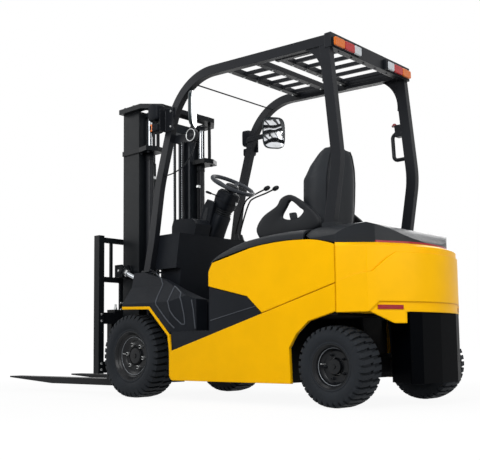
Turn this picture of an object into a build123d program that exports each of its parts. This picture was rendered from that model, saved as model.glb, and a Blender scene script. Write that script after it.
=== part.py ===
from build123d import *
import math
import os

# Forklift truck with four wheels and a battery under the seat.
# X points ahead, Y to the left and Z up. The origin is on the floor, under the middle of the truck.
# Lengths are millimetres and angles degrees. Where a comment says so, x counts from the front axle.

os.makedirs("parts", exist_ok=True)

# The truck's plan
wheelbase = 1720.0
overhang = 405.0  # from the rear axle back to the counterweight's rearmost line
fork_face = 495.0  # from the front axle ahead to the shanks' front
fork_length = 1340.0
body_width = 1180.0
tyre_outer_y = 588.0

# Wheels
front_tyre_radius = 292.0
front_tyre_width = 225.0
front_rim_radius = 168.0
rear_tyre_radius = 231.0
rear_tyre_width = 198.0
rear_rim_radius = 124.0
hub_radius = 50.0
kingpin_y = 360.0
kingpin_radius = 20.0
steer_beam_width = 110.0

# Body
plate = 22.0
wall = 16.0
belly_z = 131.0
floor_z = 665.0
step_z = 452.0
fender_z = 640.0
cowl_z = 885.0
hood_front_z = 838.0
hood_top_z = 1040.0
hood_front = -790.0  # x from the front axle
seam_gap = 5.0
pin_gap = 0.5

# Counterweight
weight_bottom_z = 533.0
weight_top_z = 905.0
skirt_bottom_z = 132.0
tail_top_z = 1070.0
pad_z = 1066.0
cap_z = 925.0  # the casting's top, under the tail cover

# Overhead guard
guard_half_width = 450.0
guard_tube_deep = 62.0
guard_tube_wide = 46.0
grille_bar = 16.0
grille_bar_count = 6

# Mast
mast_half_width = 352.0
mast_front = 345.0  # x from the front axle
rail_depth = 181.0
rail_flange = 74.0
rail_web = 16.0
rail_flange_thick = 18.0
mast_bottom_z = 105.0
mast_top_z = 2170.0
mast_plate = 36.0
mast_gap = 6.0
bracket_z = 1812.0
pivot_radius = 60.0
lift_cylinder_radius = 30.0
lift_rod_radius = 17.0
chain_y = 155.0
chain_wheel_radius = 42.0
chain_wheel_width = 32.0

# Tilt cylinders
tilt_y = 400.0
tilt_eye_x = 286.0  # x from the front axle
tilt_eye_z = 922.0
tilt_anchor_x = -266.3  # x from the front axle
tilt_anchor_rise = 22.6  # of the rear pin over the floor
tilt_barrel_radius = 36.0
tilt_rod_radius = 17.0
tilt_pin_radius = 13.0
tilt_eye_gap = 3.6  # the eye's bore is this much larger than its pin, all round

# Carriage, backrest and forks
fork_width = 122.0
fork_thick = 50.0
fork_spread = 385.0  # each fork's outer edge from the centre line
fork_bottom_z = 68.0
shank_top_z = 640.0
carriage_bar = 38.0
backrest_half_width = 545.0
backrest_top_z = 1192.0

# Driver's place
column_tilt = 32.0  # from the vertical
steering_radius = 174.0
steering_tube_radius = 15.0
steering_hub_x = -470.0  # x from the front axle
steering_hub_z = 1520.0
seat_width = 480.0

# Places that follow from the sizes above
reach = fork_face + fork_length
tail_length = wheelbase + overhang
hood_rear = -wheelbase + 164
seam_x = -wheelbase - 52
axle_x = (tail_length - reach) / 2
half_width = body_width / 2
inner_skin = half_width - plate
front_wheel_y = tyre_outer_y - front_tyre_width / 2
rear_wheel_y = tyre_outer_y - rear_tyre_width / 2
tilt_anchor_z = floor_z + tilt_anchor_rise
tilt_reach = math.hypot(tilt_eye_x - tilt_anchor_x, tilt_eye_z - tilt_anchor_z)
tilt_slope = math.degrees(math.atan2(tilt_eye_z - tilt_anchor_z, tilt_eye_x - tilt_anchor_x))


def at(x):
    """X in the truck's frame of a place given from the front axle."""
    return axle_x + x


def side_plane(y):
    """Plane at y that faces right, its local axes along X and Z."""
    return Plane.XZ.offset(-y)


def cross_plane(x):
    """Plane at x from the front axle that faces ahead, its local axes along Y and Z."""
    return Plane.YZ.offset(at(x))


def level(z):
    """Plane at height z, its local axes along X and Y."""
    return Plane.XY.offset(z)


def ahead(points):
    """The same points, their x moved from the front axle to the truck's frame."""
    return [(at(x), v) for x, v in points]


def finish(builder, name):
    """Label a finished piece and write it."""
    builder.part.label = name
    export_step(builder.part, f"parts/{name}.step")


# Side panels: yellow lower plates with the front wheel's lip and the rear wheel's arch
panel_front = -418.0
panel_apex_z = 325.0
panel_rise = 0.277  # slope of the line that the upper covers sit on
lip = 20.0
panel_corner = 40.0
arch = [(272, belly_z), (280, 338), (226, 418), (138, 490), (-52, 539)]  # x from the rear axle
arch = [(x - wheelbase, z) for x, z in arch]
lip_outside = [(panel_front - lip, panel_apex_z), (-421, 436), (-221, 630), (70, fender_z)]
lip_inside = [(70, fender_z - lip), (-212, 610), (-402, 428), (panel_front, panel_apex_z)]


def panel_line(x):
    """Height of the side panel's upper edge at x from the front axle."""
    return panel_apex_z + panel_rise * (panel_front - lip - x)


with BuildPart() as side_panels:
    with BuildSketch(side_plane(half_width)) as panel_outline:
        with BuildLine():
            Polyline(
                *ahead([(panel_front, belly_z)] + arch + [(seam_x, panel_line(seam_x))]),
                *ahead(lip_outside + lip_inside),
                close=True,
            )
        make_face()
        fillet(panel_outline.vertices().sort_by_distance((at(panel_front), belly_z, 0))[0], panel_corner)
    extrude(amount=plate)
    mirror(about=Plane.XZ)
finish(side_panels, "side_panels")

# Side covers: yellow upper panels beside the battery, under the hood's curved edge
cover_low = [(hood_front, 735), (-1119, 655), (-1235, panel_line(-1235) + seam_gap)]
cover_rear = [(seam_x, panel_line(seam_x) + seam_gap), (seam_x, weight_top_z + 10)]
cover_shoulder = (seam_x + 68, 938)


def along(share):
    """X from the front axle, a share of the way from the hood's front edge to its rear one."""
    return hood_front + share * (hood_rear - hood_front)


cover_crown = [(hood_rear - 44, 958), (along(0.778), 966), (along(0.469), 949), (along(0.044), 882), (hood_front, 827)]

with BuildPart() as side_covers:
    with BuildSketch(side_plane(half_width)):
        with BuildLine():
            Polyline(*ahead([cover_crown[-1]] + cover_low + cover_rear))
            ThreePointArc(*ahead([cover_rear[-1], cover_shoulder, cover_crown[0]]))
            ThreePointArc(*ahead([cover_crown[0], cover_crown[1], cover_crown[2]]))
            Line(*ahead([cover_crown[2], cover_crown[3]]))
            Line(*ahead([cover_crown[3], cover_crown[4]]))
        make_face()
    extrude(amount=plate)
    mirror(about=Plane.XZ)
finish(side_covers, "side_covers")

# Steps: black side wells with the tread, and the insert under each side cover
insert_face = half_width - 6
insert_plate = insert_face - inner_skin
floor_half = 414.0
well_depth = insert_face - floor_half
well_front = -430.0
floor_front = -262.0
cover_z = floor_z - wall
dash_front = -78.0

with BuildPart() as step_wells:
    with BuildSketch(side_plane(insert_face)):
        with BuildLine():
            Polyline(
                *ahead([(hood_front, panel_line(hood_front) + 1), (-1228, panel_line(-1228) + 1)]),
                *ahead([(-1119, 650), (hood_front, 730)]),
                close=True,
            )
        make_face()
    extrude(amount=insert_plate)
    with BuildSketch(side_plane(insert_face)):
        with BuildLine():
            Polyline(
                *ahead([(hood_front, panel_line(hood_front) + 1), (well_front - 10, panel_apex_z + 2)]),
                *ahead([(well_front, step_z), (hood_front, step_z)]),
                close=True,
            )
        make_face()
    extrude(amount=insert_plate)
    with BuildSketch(level(step_z)):
        with Locations((at((well_front + hood_front) / 2), insert_face - well_depth / 2)):
            Rectangle(well_front - hood_front, well_depth)
    extrude(amount=-wall)
    with BuildSketch(level(step_z)):
        with Locations((at((well_front + hood_front) / 2), insert_face - well_depth + wall / 2)):
            Rectangle(well_front - hood_front, wall)
    extrude(amount=floor_z - wall - step_z)
    mirror(about=Plane.XZ)
finish(step_wells, "step_wells")

# Front fenders: black mouldings over the front wheels, open below for the wheel
fender_inner = tilt_y + tilt_barrel_radius + 10
fender_rear = -636.0
fender_top = [(-42, cowl_z), (-275, 814), (-440, 738), (-600, floor_z + 11), (fender_rear, floor_z)]

with BuildPart() as front_fenders:
    with BuildSketch(side_plane(half_width - 1)):
        with BuildLine():
            Polyline(
                *ahead([(70, fender_z + 1), (-222, 631), (-424, 438), (-430, step_z)]),
                *ahead([(fender_rear, step_z)] + fender_top[::-1] + [(70, cowl_z)]),
                close=True,
            )
        make_face()
    extrude(amount=half_width - 1 - fender_inner)
    with BuildSketch(cross_plane(100)):
        with BuildLine():
            Polyline(
                (half_width + 10, 640),
                (half_width + 10, cowl_z + 10),
                (475, cowl_z + 10),
                (500, 780),
                close=True,
            )
        make_face()
    extrude(amount=-900, mode=Mode.SUBTRACT)
    with BuildSketch(level(step_z - 20)):
        with BuildLine():
            Polyline(
                *ahead([(-415, half_width), (fender_rear, half_width - 42), (fender_rear - 20, half_width - 42)]),
                *ahead([(fender_rear - 20, half_width + 30), (-415, half_width + 30)]),
                close=True,
            )
        make_face()
    extrude(amount=500, mode=Mode.SUBTRACT)
    with BuildSketch(level(cowl_z)):
        with Locations((at(-84), (fender_inner + guard_half_width - guard_tube_wide) / 2 + 6)):
            Rectangle(144, fender_inner - guard_half_width + guard_tube_wide + 12)
    extrude(amount=-10)
    mirror(about=Plane.XZ)
finish(front_fenders, "front_fenders")

# Underframe: belly plate, cross walls, the wheel house's roof and the plates that carry the axles
battery_front = hood_front - wall
battery_rear = -wheelbase + 358
spine = 16.0
front_plate_y = 262.0
lid_roof_z = 1012.0
axle_bore = 89.0
bulkhead = -432.0
roof_z = weight_bottom_z - wall
hanger_x = 95.0
ear_y = tilt_y - 32

with BuildPart() as underframe:
    with BuildSketch(level(belly_z)):
        with Locations((at((bulkhead + battery_rear - wall) / 2), 0)):
            Rectangle(bulkhead - battery_rear + wall, 2 * inner_skin)
    extrude(amount=wall)
    for x, half, top in [
        (bulkhead, inner_skin, 325),
        (bulkhead, floor_half - 1, step_z - wall - 2),
        (bulkhead, floor_half - wall, cover_z),
        (hood_front, inner_skin, 800),
        (battery_rear, inner_skin, 860),
        (battery_rear, 200, lid_roof_z - pin_gap),
    ]:
        with BuildSketch(cross_plane(x)):
            with BuildLine():
                Polyline((-half, belly_z), (half, belly_z), (half, top), (-half, top), close=True)
            make_face()
        extrude(amount=-wall)
    with BuildSketch(level(roof_z)):
        with Locations((at((battery_rear + seam_x) / 2), 0)):
            Rectangle(battery_rear - seam_x, 2 * inner_skin)
        with Locations((at(seam_x - 30), 0)):
            Rectangle(80, 500)
    extrude(amount=wall)
    for y in (front_plate_y + wall, -front_plate_y):
        with BuildSketch(side_plane(y)):
            with BuildLine():
                Polyline(
                    *ahead([(bulkhead - 4, 170), (-120, 170), (-100, 292), (60, 292), (60, 400)]),
                    *ahead([(20, floor_z - wall), (bulkhead - 4, floor_z - wall)]),
                    close=True,
                )
            make_face()
        extrude(amount=wall)
    with BuildSketch(level(cover_z)):
        with Locations((at((bulkhead + dash_front) / 2), 0)):
            Rectangle(dash_front - bulkhead, 2 * (front_plate_y + wall))
        with Locations((at((well_front + tilt_anchor_x + 60) / 2), 0)):
            Rectangle(tilt_anchor_x + 60 - well_front, 2 * fender_inner - 2)
    extrude(amount=-wall)
    for y in (ear_y + 10, -ear_y):
        with BuildSketch(side_plane(y)):
            with BuildLine():
                Polyline(
                    *ahead([(tilt_anchor_x - 45, cover_z - 4), (tilt_anchor_x + 45, cover_z - 4)]),
                    *ahead([(tilt_anchor_x + 20, tilt_anchor_z + 24), (tilt_anchor_x - 24, tilt_anchor_z + 24)]),
                    close=True,
                )
            make_face()
        extrude(amount=10)
    for y in (tilt_y + 24, -ear_y):
        with BuildSketch(side_plane(y)):
            with Locations((at(tilt_anchor_x), tilt_anchor_z)):
                Circle(tilt_pin_radius)
        extrude(amount=tilt_y + 24 - ear_y)
    with BuildSketch(side_plane(front_plate_y + wall + 1)):
        with Locations((axle_x, front_tyre_radius)):
            Circle(axle_bore)
    extrude(amount=2 * (front_plate_y + wall + 1), mode=Mode.SUBTRACT)
    with BuildSketch(side_plane(spine / 2)):
        with BuildLine():
            Polyline(
                *ahead([(battery_rear - 4, belly_z + 4), (battery_rear - 4, roof_z + 4)]),
                *ahead([(hanger_x - wheelbase, roof_z + 4), (hanger_x - wheelbase, 190), (hanger_x - wheelbase + 20, 190)]),
                *ahead([(battery_rear - 70, belly_z + 4)]),
                close=True,
            )
        make_face()
    extrude(amount=spine)
    for x in (-hanger_x, hanger_x):
        with BuildSketch(cross_plane(-wheelbase + x)):
            with BuildLine():
                Polyline((-110, roof_z + 4), (110, roof_z + 4), (60, 190), (-60, 190), close=True)
            make_face()
        extrude(amount=wall / 2, both=True)
finish(underframe, "underframe")

# Battery: one plain block behind the hood's front wall
with BuildPart() as battery:
    with BuildSketch(level(belly_z + wall)):
        with Locations((at((battery_front + battery_rear) / 2), 0)):
            Rectangle(battery_front - battery_rear - 8, 2 * inner_skin - 60)
    extrude(amount=640)
finish(battery, "battery")

# Floor plate with the three pedals standing on it

with BuildPart() as floor_plate:
    with BuildSketch(level(floor_z)):
        with BuildLine():
            Polyline(
                *ahead([(floor_front, 0), (floor_front, ear_y - 8), (bulkhead + 100, ear_y - 8)]),
                *ahead([(bulkhead + 100, floor_half), (hood_front, floor_half), (hood_front, 0)]),
                close=True,
            )
        make_face()
        mirror(about=Plane.XZ)
    extrude(amount=-wall)
finish(floor_plate, "floor_plate")

pedal_places = [(-395, -260), (-385, -110), (-385, 120)]
pad = floor_z + 70  # height of a pedal's lower edge
with BuildPart() as pedals:
    for x, y in pedal_places:
        with BuildSketch(side_plane(y + 35)):
            with BuildLine():
                Polyline(*ahead([(x, pad + 55), (x - 45, pad), (x - 37, pad - 6), (x + 12, pad + 51)]), close=True)
            make_face()
        extrude(amount=70)
        with BuildSketch(side_plane(y + 8)):
            with BuildLine():
                Polyline(
                    *ahead([(x - 22, pad + 21), (x - 12, pad + 27), (x + 60, floor_z), (x + 42, floor_z)]), close=True
                )
            make_face()
        extrude(amount=16)
finish(pedals, "pedals")

# Hood hinge: barrels on the lid and on the tail cover, on one line above their seam
hood_hinge_x = hood_rear - seam_gap / 2
hood_hinge_z = hood_top_z + 12
hinge_y = 190.0
hinge_half = 30.0
hinge_radius = 11.0
pillar_x = -wheelbase + 74  # the rear pillars' feet, from the front axle

# Counterweight: one casting, its plan rounded at the corners
sill_inset = 8.0
strip_thick = 5.0
strip_wide = 4.0
strip_tall = 12.0
rear_line = -tail_length
weight_plan = [(seam_x - 3, half_width - 4), (rear_line + 181, half_width - 64)]
weight_plan += [(rear_line + 153, half_width - 114), (rear_line + 77, half_width - 264)]
weight_flank = [(seam_x, weight_bottom_z), (rear_line + 179, weight_bottom_z), (rear_line + 148, 590)]
weight_flank += [(rear_line - 10, 590), (rear_line - 10, 868), (rear_line + 95, 868), (rear_line + 122, 835)]
weight_flank += [(rear_line + 165, 757), (rear_line + 246, 743), (seam_x, 704)]
wing_bottom_z = 470.0
wing_deep = 58.0


def weight_outline(inset=0.0):
    """Half plan of the counterweight's outer face, moved inwards by inset."""
    return weight_plan[:1] + [(x + inset * 0.6, y - inset) for x, y in weight_plan[1:]]


def round_tail(half_plan, rear_x):
    """Full plan from its left half: the lines, one wide arc across the tail and the lines again."""
    left = ahead(half_plan)
    right = [(x, -y) for x, y in reversed(left)]
    Polyline(*left)
    ThreePointArc(left[-1], (at(rear_x), 0), right[0])
    Polyline(*right)
    Line(right[-1], left[0])


tail_plan = [(seam_x - 3, half_width - 10), (rear_line + 192, half_width - 172), (rear_line + 112, half_width - 332)]
tail_rear = rear_line + 62
lip_plan = [(seam_x - 3, half_width - 4), (rear_line + 188, half_width - 166), (rear_line + 106, half_width - 328)]

with BuildPart() as counterweight:
    with BuildSketch(level(weight_bottom_z)):
        with BuildLine():
            round_tail(weight_plan, rear_line)
        make_face()
    extrude(amount=weight_top_z - weight_bottom_z)
    with BuildSketch(side_plane(half_width)):
        with BuildLine():
            Polyline(*ahead(weight_flank), close=True)
        make_face()
    extrude(amount=2 * half_width, mode=Mode.INTERSECT)
    with BuildSketch(level(weight_bottom_z)):
        with BuildLine():
            round_tail(weight_outline(sill_inset), rear_line + sill_inset)
        make_face()
    extrude(amount=weight_top_z - weight_bottom_z)
    with BuildSketch(level(weight_top_z)):
        with BuildLine():
            corner, *rest = weight_outline(sill_inset)
            round_tail([corner, rest[0], rest[2]], rear_line + sill_inset)
        make_face()
    with BuildSketch(level(cap_z)):
        with BuildLine():
            round_tail(lip_plan, tail_rear - 6)
        make_face()
    loft(ruled=True)
    with BuildSketch(level(weight_bottom_z)):
        with BuildLine():
            wing_edge = weight_outline(sill_inset)[1:]
            wing_end = (wing_edge[-1][0] - 9, 297)
            wing_back = [(wing_end[0] + wing_deep, 297), (wing_edge[0][0] + 20, wing_edge[0][1] - wing_deep)]
            Polyline(*ahead(wing_edge + [wing_end] + wing_back), close=True)
        make_face()
    extrude(amount=wing_bottom_z - weight_bottom_z)
    with BuildSketch(side_plane(half_width)):
        with BuildLine():
            Polyline(
                *ahead([(rear_line + 220, wing_bottom_z - 10), (rear_line + 220, weight_bottom_z)]),
                *ahead([(rear_line + 179, weight_bottom_z), (rear_line + 111, wing_bottom_z)]),
                *ahead([(rear_line + 111, wing_bottom_z - 10)]),
                close=True,
            )
        make_face()
    extrude(amount=half_width, mode=Mode.SUBTRACT)
    mirror(about=Plane.XZ)
finish(counterweight, "counterweight")

# Skirt: the casting's lower middle, black, narrow enough for the wheels to steer past
with BuildPart() as counterweight_skirt:
    with BuildSketch(level(weight_bottom_z)):
        with BuildLine():
            Polyline(
                *ahead([(-1850, 0), (-1850, 140), (-2020, 225), (-2052, 232), (-2062, 290)]),
                *ahead([(rear_line + 62, 290), (rear_line + 34, 200), (rear_line + 28, 0)]),
                close=True,
            )
        make_face()
        mirror(about=Plane.XZ)
    extrude(amount=skirt_bottom_z - weight_bottom_z)
finish(counterweight_skirt, "counterweight_skirt")

# Tail cover: black lid over the counterweight, which the rear pillars stand on
cover_front = hood_rear - seam_gap
cover_roof = [(cover_front, hood_top_z + 4), (hood_rear - 150, tail_top_z), (rear_line + 285, tail_top_z - 14)]
cover_roof += [(rear_line + 150, tail_top_z - 62), (rear_line + 88, tail_top_z - 112), (tail_rear - 2, cap_z)]
cover_section = [(0, tail_top_z + 1), (300, tail_top_z - 8), (450, tail_top_z - 28), (530, tail_top_z - 58)]
cover_section += [(half_width - 12, tail_top_z - 96), (half_width + 6, cap_z - 20)]

with BuildPart() as tail_cover:
    with BuildSketch(side_plane(half_width)):
        with BuildLine():
            roof_run = ahead(cover_roof)
            Line((at(cover_front), 985), roof_run[0])
            Spline(*roof_run, tangents=((1, 0.25), (-0.35, -1)))
            Line(roof_run[-1], (at(seam_x), cap_z))
            ThreePointArc(*ahead([(seam_x, cap_z), (seam_x + 72, 943), (hood_rear - 44, 963.5)]))
            Line((at(hood_rear - 44), 963.5), (at(cover_front), 985))
        make_face()
    extrude(amount=2 * half_width)
    with BuildSketch(level(cap_z)):
        with BuildLine():
            round_tail([(cover_front, half_width - 2)] + tail_plan, tail_rear)
        make_face()
    extrude(amount=400, mode=Mode.INTERSECT)
    with BuildSketch(cross_plane(rear_line - 100)):
        with BuildLine():
            right_half = [(-y, z) for y, z in cover_section[:0:-1]]
            Spline(*right_half, *cover_section)
            Line(cover_section[-1], right_half[0])
        make_face()
    extrude(amount=800, mode=Mode.INTERSECT)
    with BuildSketch(level(pad_z)):
        with Locations((at(pillar_x), guard_half_width - guard_tube_wide / 2)):
            Rectangle(96, 64)
    extrude(amount=-80)
    for y in (hinge_y + hinge_half + 30, hinge_y - hinge_half - 0.5):
        with BuildSketch(side_plane(y)):
            with Locations((at(hood_hinge_x), hood_hinge_z)):
                Circle(hinge_radius)
            with BuildLine():
                Polyline(
                    *ahead([(hood_hinge_x, hood_hinge_z + 4), (hood_hinge_x - 40, hood_hinge_z + 2)]),
                    *ahead([(hood_hinge_x - 40, hood_top_z), (hood_hinge_x - 3, hood_top_z)]),
                    close=True,
                )
            make_face()
        extrude(amount=29.5)
    mirror(about=Plane.XZ)
    for y in (hinge_y + hinge_half + 0.5, hinge_half + 0.5 - hinge_y):
        with BuildSketch(side_plane(y)):
            with Locations((at(hood_hinge_x), hood_hinge_z)):
                Circle(hinge_radius + seam_gap)
        extrude(amount=2 * hinge_half + 1, mode=Mode.SUBTRACT)
finish(tail_cover, "tail_cover")

# Red strips: the reflector on each rear corner and the long one under the tail cover
strip_start, strip_end = (Vector(*point) for point in ahead(weight_outline(sill_inset)[2:]))
strip_run = (strip_end - strip_start).normalized()
strip_out = Vector(strip_run.Y, -strip_run.X) * strip_thick

with BuildPart() as red_strips:
    with BuildSketch(level(weight_bottom_z + 14)):
        with BuildLine():
            near = strip_start + strip_run * 3
            far = strip_end - strip_run * 3
            Polyline(near, far, far + strip_out, near + strip_out, close=True)
        make_face()
    extrude(amount=24)
    mirror(about=Plane.XZ)
    with BuildSketch(level(cap_z)):
        with BuildLine():
            inner = ahead(tail_plan[1:])
            outer = [(x - strip_wide, y) for x, y in inner]
            Polyline(inner[0], inner[1])
            ThreePointArc(inner[1], (at(tail_rear), 0), (inner[1][0], -inner[1][1]))
            Polyline((inner[1][0], -inner[1][1]), (inner[0][0], -inner[0][1]), (outer[0][0], -outer[0][1]))
            Polyline((outer[0][0], -outer[0][1]), (outer[1][0], -outer[1][1]))
            ThreePointArc((outer[1][0], -outer[1][1]), (at(tail_rear) - strip_wide, 0), outer[1])
            Polyline(outer[1], outer[0], inner[0])
        make_face()
    extrude(amount=strip_tall)
finish(red_strips, "red_strips")

# Overhead guard: side frames bent from rectangular tube, cross beams and the lamp beam
front_foot = (-24, cowl_z - 30)
member_x = [-775, -1030, -1205]
guard_rear = -wheelbase + 80
guard_front_path = [front_foot, (-88, 1118), (-154, 1503), (-380, 2238), (guard_rear, 2172)]
guard_bends = [900, 1200, 400]
rear_pillar_path = [(guard_rear + 8, 2160), (guard_rear - 64, 1440), (pillar_x + 12, 1030)]
roof_fall = (guard_front_path[3][1] - guard_front_path[4][1]) / (guard_front_path[3][0] - guard_rear)
inner_y = guard_half_width - guard_tube_wide
tail_beam_tall = 88.0


def roof_line(x):
    """Height of the side beams' middle at x from the front axle."""
    return guard_front_path[4][1] + (x - guard_rear) * roof_fall


def roof_bar(x_rear, x_front, drop, tall):
    """Side outline of a bar that follows the roof, its top a drop below the beams' middle."""
    low = drop + tall
    Polyline(
        *ahead([(x_rear, roof_line(x_rear) - drop), (x_front, roof_line(x_front) - drop)]),
        *ahead([(x_front, roof_line(x_front) - low), (x_rear, roof_line(x_rear) - low)]),
        close=True,
    )


with BuildPart() as guard_frame:
    with BuildLine(side_plane(guard_half_width - guard_tube_wide / 2)) as front_route:
        FilletPolyline(*ahead(guard_front_path), radius=guard_bends)
    with BuildSketch(Plane(origin=front_route.line @ 0, x_dir=(0, 1, 0), z_dir=front_route.line % 0)):
        Rectangle(guard_tube_wide, guard_tube_deep)
    sweep(path=front_route.line)
    with BuildLine(side_plane(guard_half_width - guard_tube_wide / 2)) as rear_route:
        FilletPolyline(*ahead(rear_pillar_path), radius=600)
    with BuildSketch(Plane(origin=rear_route.line @ 0, x_dir=(0, 1, 0), z_dir=rear_route.line % 0)):
        Rectangle(guard_tube_wide - 4, guard_tube_deep + 8)
    sweep(path=rear_route.line)
    with BuildSketch(side_plane(guard_half_width - 8)):
        with BuildLine():
            gusset = ahead([(guard_rear - 5, 2150), (guard_rear + 158, 2152), (guard_rear + 30, 1925), (guard_rear - 10, 1925)])
            Polyline(gusset[1], gusset[0], gusset[3], gusset[2])
            ThreePointArc(gusset[2], (at(guard_rear + 62), 2068), gusset[1])
        make_face()
    extrude(amount=guard_tube_wide - 16)
    with BuildSketch(side_plane(inner_y + 2)):
        with BuildLine():
            roof_bar(guard_rear, member_x[2] - 15, 12, 24)
        make_face()
    extrude(amount=30)
    for x, z in ((-24, cowl_z), (pillar_x, pad_z)):
        with BuildSketch(level(z)):
            with Locations((at(x), guard_half_width)):
                Rectangle(260, 200)
        extrude(amount=-90, mode=Mode.SUBTRACT)
    mirror(about=Plane.XZ)
    with BuildSketch(cross_plane(guard_rear)):
        with Locations((0, guard_front_path[-1][1] - 6)):
            Rectangle(2 * guard_half_width + 6, tail_beam_tall)
    extrude(amount=-46)
    with BuildSketch(side_plane(inner_y + 4)):
        with Locations((at(-517), 2166)):
            Circle(5)
    extrude(amount=2 * inner_y + 8)
finish(guard_frame, "guard_frame")

# Guard grille: two ladders of cross members and the bars that run fore and aft between them
with BuildPart() as guard_grille:
    for x in member_x:
        with BuildSketch(cross_plane(x)):
            with Locations((0, roof_line(x) + 12)):
                Rectangle(2 * inner_y, 34)
        extrude(amount=22, both=True)
    for x_front, x_rear in ((member_x[0], member_x[1]), (member_x[2], guard_rear + 0.5)):
        for index in range(grille_bar_count):
            bar_y = inner_y * ((2 * index + 1) / grille_bar_count - 1)
            with BuildSketch(side_plane(bar_y + grille_bar / 2)):
                with BuildLine():
                    roof_bar(x_rear, x_front, -26, 24)
                make_face()
            extrude(amount=grille_bar)
finish(guard_grille, "guard_grille")

# Dash: the cowl between the pillars, its pod and the steering column
dash_half = guard_half_width - guard_tube_wide - 2
dash_low_half = 352.0
dash_z = 1150.0
pod_y = 255.0
pod_wide = 150.0
dash_rear = -330.0
with BuildPart() as dash:
    for half, low in ((dash_half, 905), (dash_low_half, cover_z)):
        with BuildSketch(side_plane(half)):
            with BuildLine():
                Polyline(
                    *ahead([(dash_front, low), (dash_front, dash_z), (dash_rear, dash_z)]),
                    *ahead([(dash_rear + (dash_z - low) * 0.16, low)]),
                    close=True,
                )
            make_face()
        extrude(amount=2 * half)
    with BuildSketch(side_plane(pod_y)) as pod_outline:
        with BuildLine():
            Polyline(
                *ahead([(-90, dash_z - 6), (-92, 1232), (-112, 1282), (-300, 1270), (-348, 1226), (-322, dash_z - 6)]),
                close=True,
            )
        make_face()
        fillet(pod_outline.vertices().group_by(Axis.Y)[-1] + pod_outline.vertices().group_by(Axis.Y)[-2], 16)
    extrude(amount=pod_wide)
finish(dash, "dash")

column_axis = (-math.sin(math.radians(column_tilt)), 0, math.cos(math.radians(column_tilt)))
hub_centre = (at(steering_hub_x), 0, steering_hub_z)
wheel_plane = Plane(origin=hub_centre, x_dir=(0, 1, 0), z_dir=column_axis)

column_half = 60.0
column_top = 40.4  # below the hub's centre, along the column

with BuildPart() as steering_column:
    with BuildSketch(side_plane(column_half - 5)):
        with BuildLine():
            lean = Vector(column_axis[0], column_axis[2])
            across = Vector(lean.Y, -lean.X)
            top = Vector(hub_centre[0], hub_centre[2]) - lean * column_top
            corners = []
            for half in (column_half, -column_half):
                edge = top + across * half
                corners += [edge, edge - lean * ((edge.Y - dash_z) / lean.Y)]
            Polyline(corners[0], corners[1], corners[3], corners[2], close=True)
        make_face()
    extrude(amount=2 * column_half - 10)
    with BuildSketch(side_plane(pod_y - pod_wide - 6)):
        with BuildLine():
            Polyline(
                *ahead([(-205, dash_z), (-214, 1262), (-292, 1432), (-372, 1398), (-318, 1240), (-300, dash_z)]),
                close=True,
            )
        make_face()
    extrude(amount=pod_y - pod_wide - column_half + 3)
finish(steering_column, "steering_column")

# Steering wheel: rim, three spokes and the hub, turning about the leaning column
with BuildPart() as steering_wheel:
    with BuildSketch(wheel_plane.offset(-40)):
        Circle(38)
    extrude(amount=50)
    for turn in (90, 210, 330):
        with BuildSketch(wheel_plane.offset(-12)):
            with Locations(Location((0, 0, 0), (0, 0, turn))):
                with Locations((steering_radius / 2, 0)):
                    Rectangle(steering_radius - 20, 28)
        extrude(amount=12)
    with BuildSketch(Plane(origin=hub_centre, x_dir=(0, 1, 0), z_dir=(-column_axis[2], 0, column_axis[0]))):
        with Locations((steering_radius - steering_tube_radius, 0)):
            Circle(steering_tube_radius)
    revolve(axis=Axis(hub_centre, column_axis))
finish(steering_wheel, "steering_wheel")

# Levers: two for the mast, beside the column, each bent rod ending in a knob
lever_tops = [(-215, -632, 1507), (-265, -700, 1480)]
lever_radius = 6.0
knob_radius = 17.0

with BuildPart() as levers:
    for y, x_top, z_top in lever_tops:
        with BuildLine(side_plane(y)) as lever_route:
            FilletPolyline(
                *ahead([(-312, dash_z + 0.3), (-312, dash_z + 75), (-400, 1345), (-480, 1430), (x_top, z_top)]), radius=40
            )
        with BuildSketch(Plane(origin=lever_route.line @ 0, x_dir=(0, 1, 0), z_dir=lever_route.line % 0)):
            Circle(lever_radius)
        sweep(path=lever_route.line)
        with BuildSketch(Plane(origin=lever_route.line @ 1, x_dir=(0, 1, 0), z_dir=lever_route.line % 1)):
            Circle(knob_radius - 4)
        extrude(amount=-14)
        with BuildSketch(Plane(origin=lever_route.line @ 1, x_dir=(0, 1, 0), z_dir=lever_route.line % 1)):
            Circle(knob_radius)
        extrude(amount=26, taper=12)
finish(levers, "levers")

# Hood: the black lid with the seat's base, hinged along its rear edge
lid_wall = 26.0
seat_x = hood_rear + 446  # the cushion's middle, from the front axle
lid_gap = seam_gap
lid_edge = [(x, z + lid_gap) for x, z in cover_crown]
lid_crown = [(hood_rear, hood_top_z), (seat_x - 190, hood_top_z + 2), (seat_x + 60, 1000), (hood_front, hood_front_z + 42)]

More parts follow.
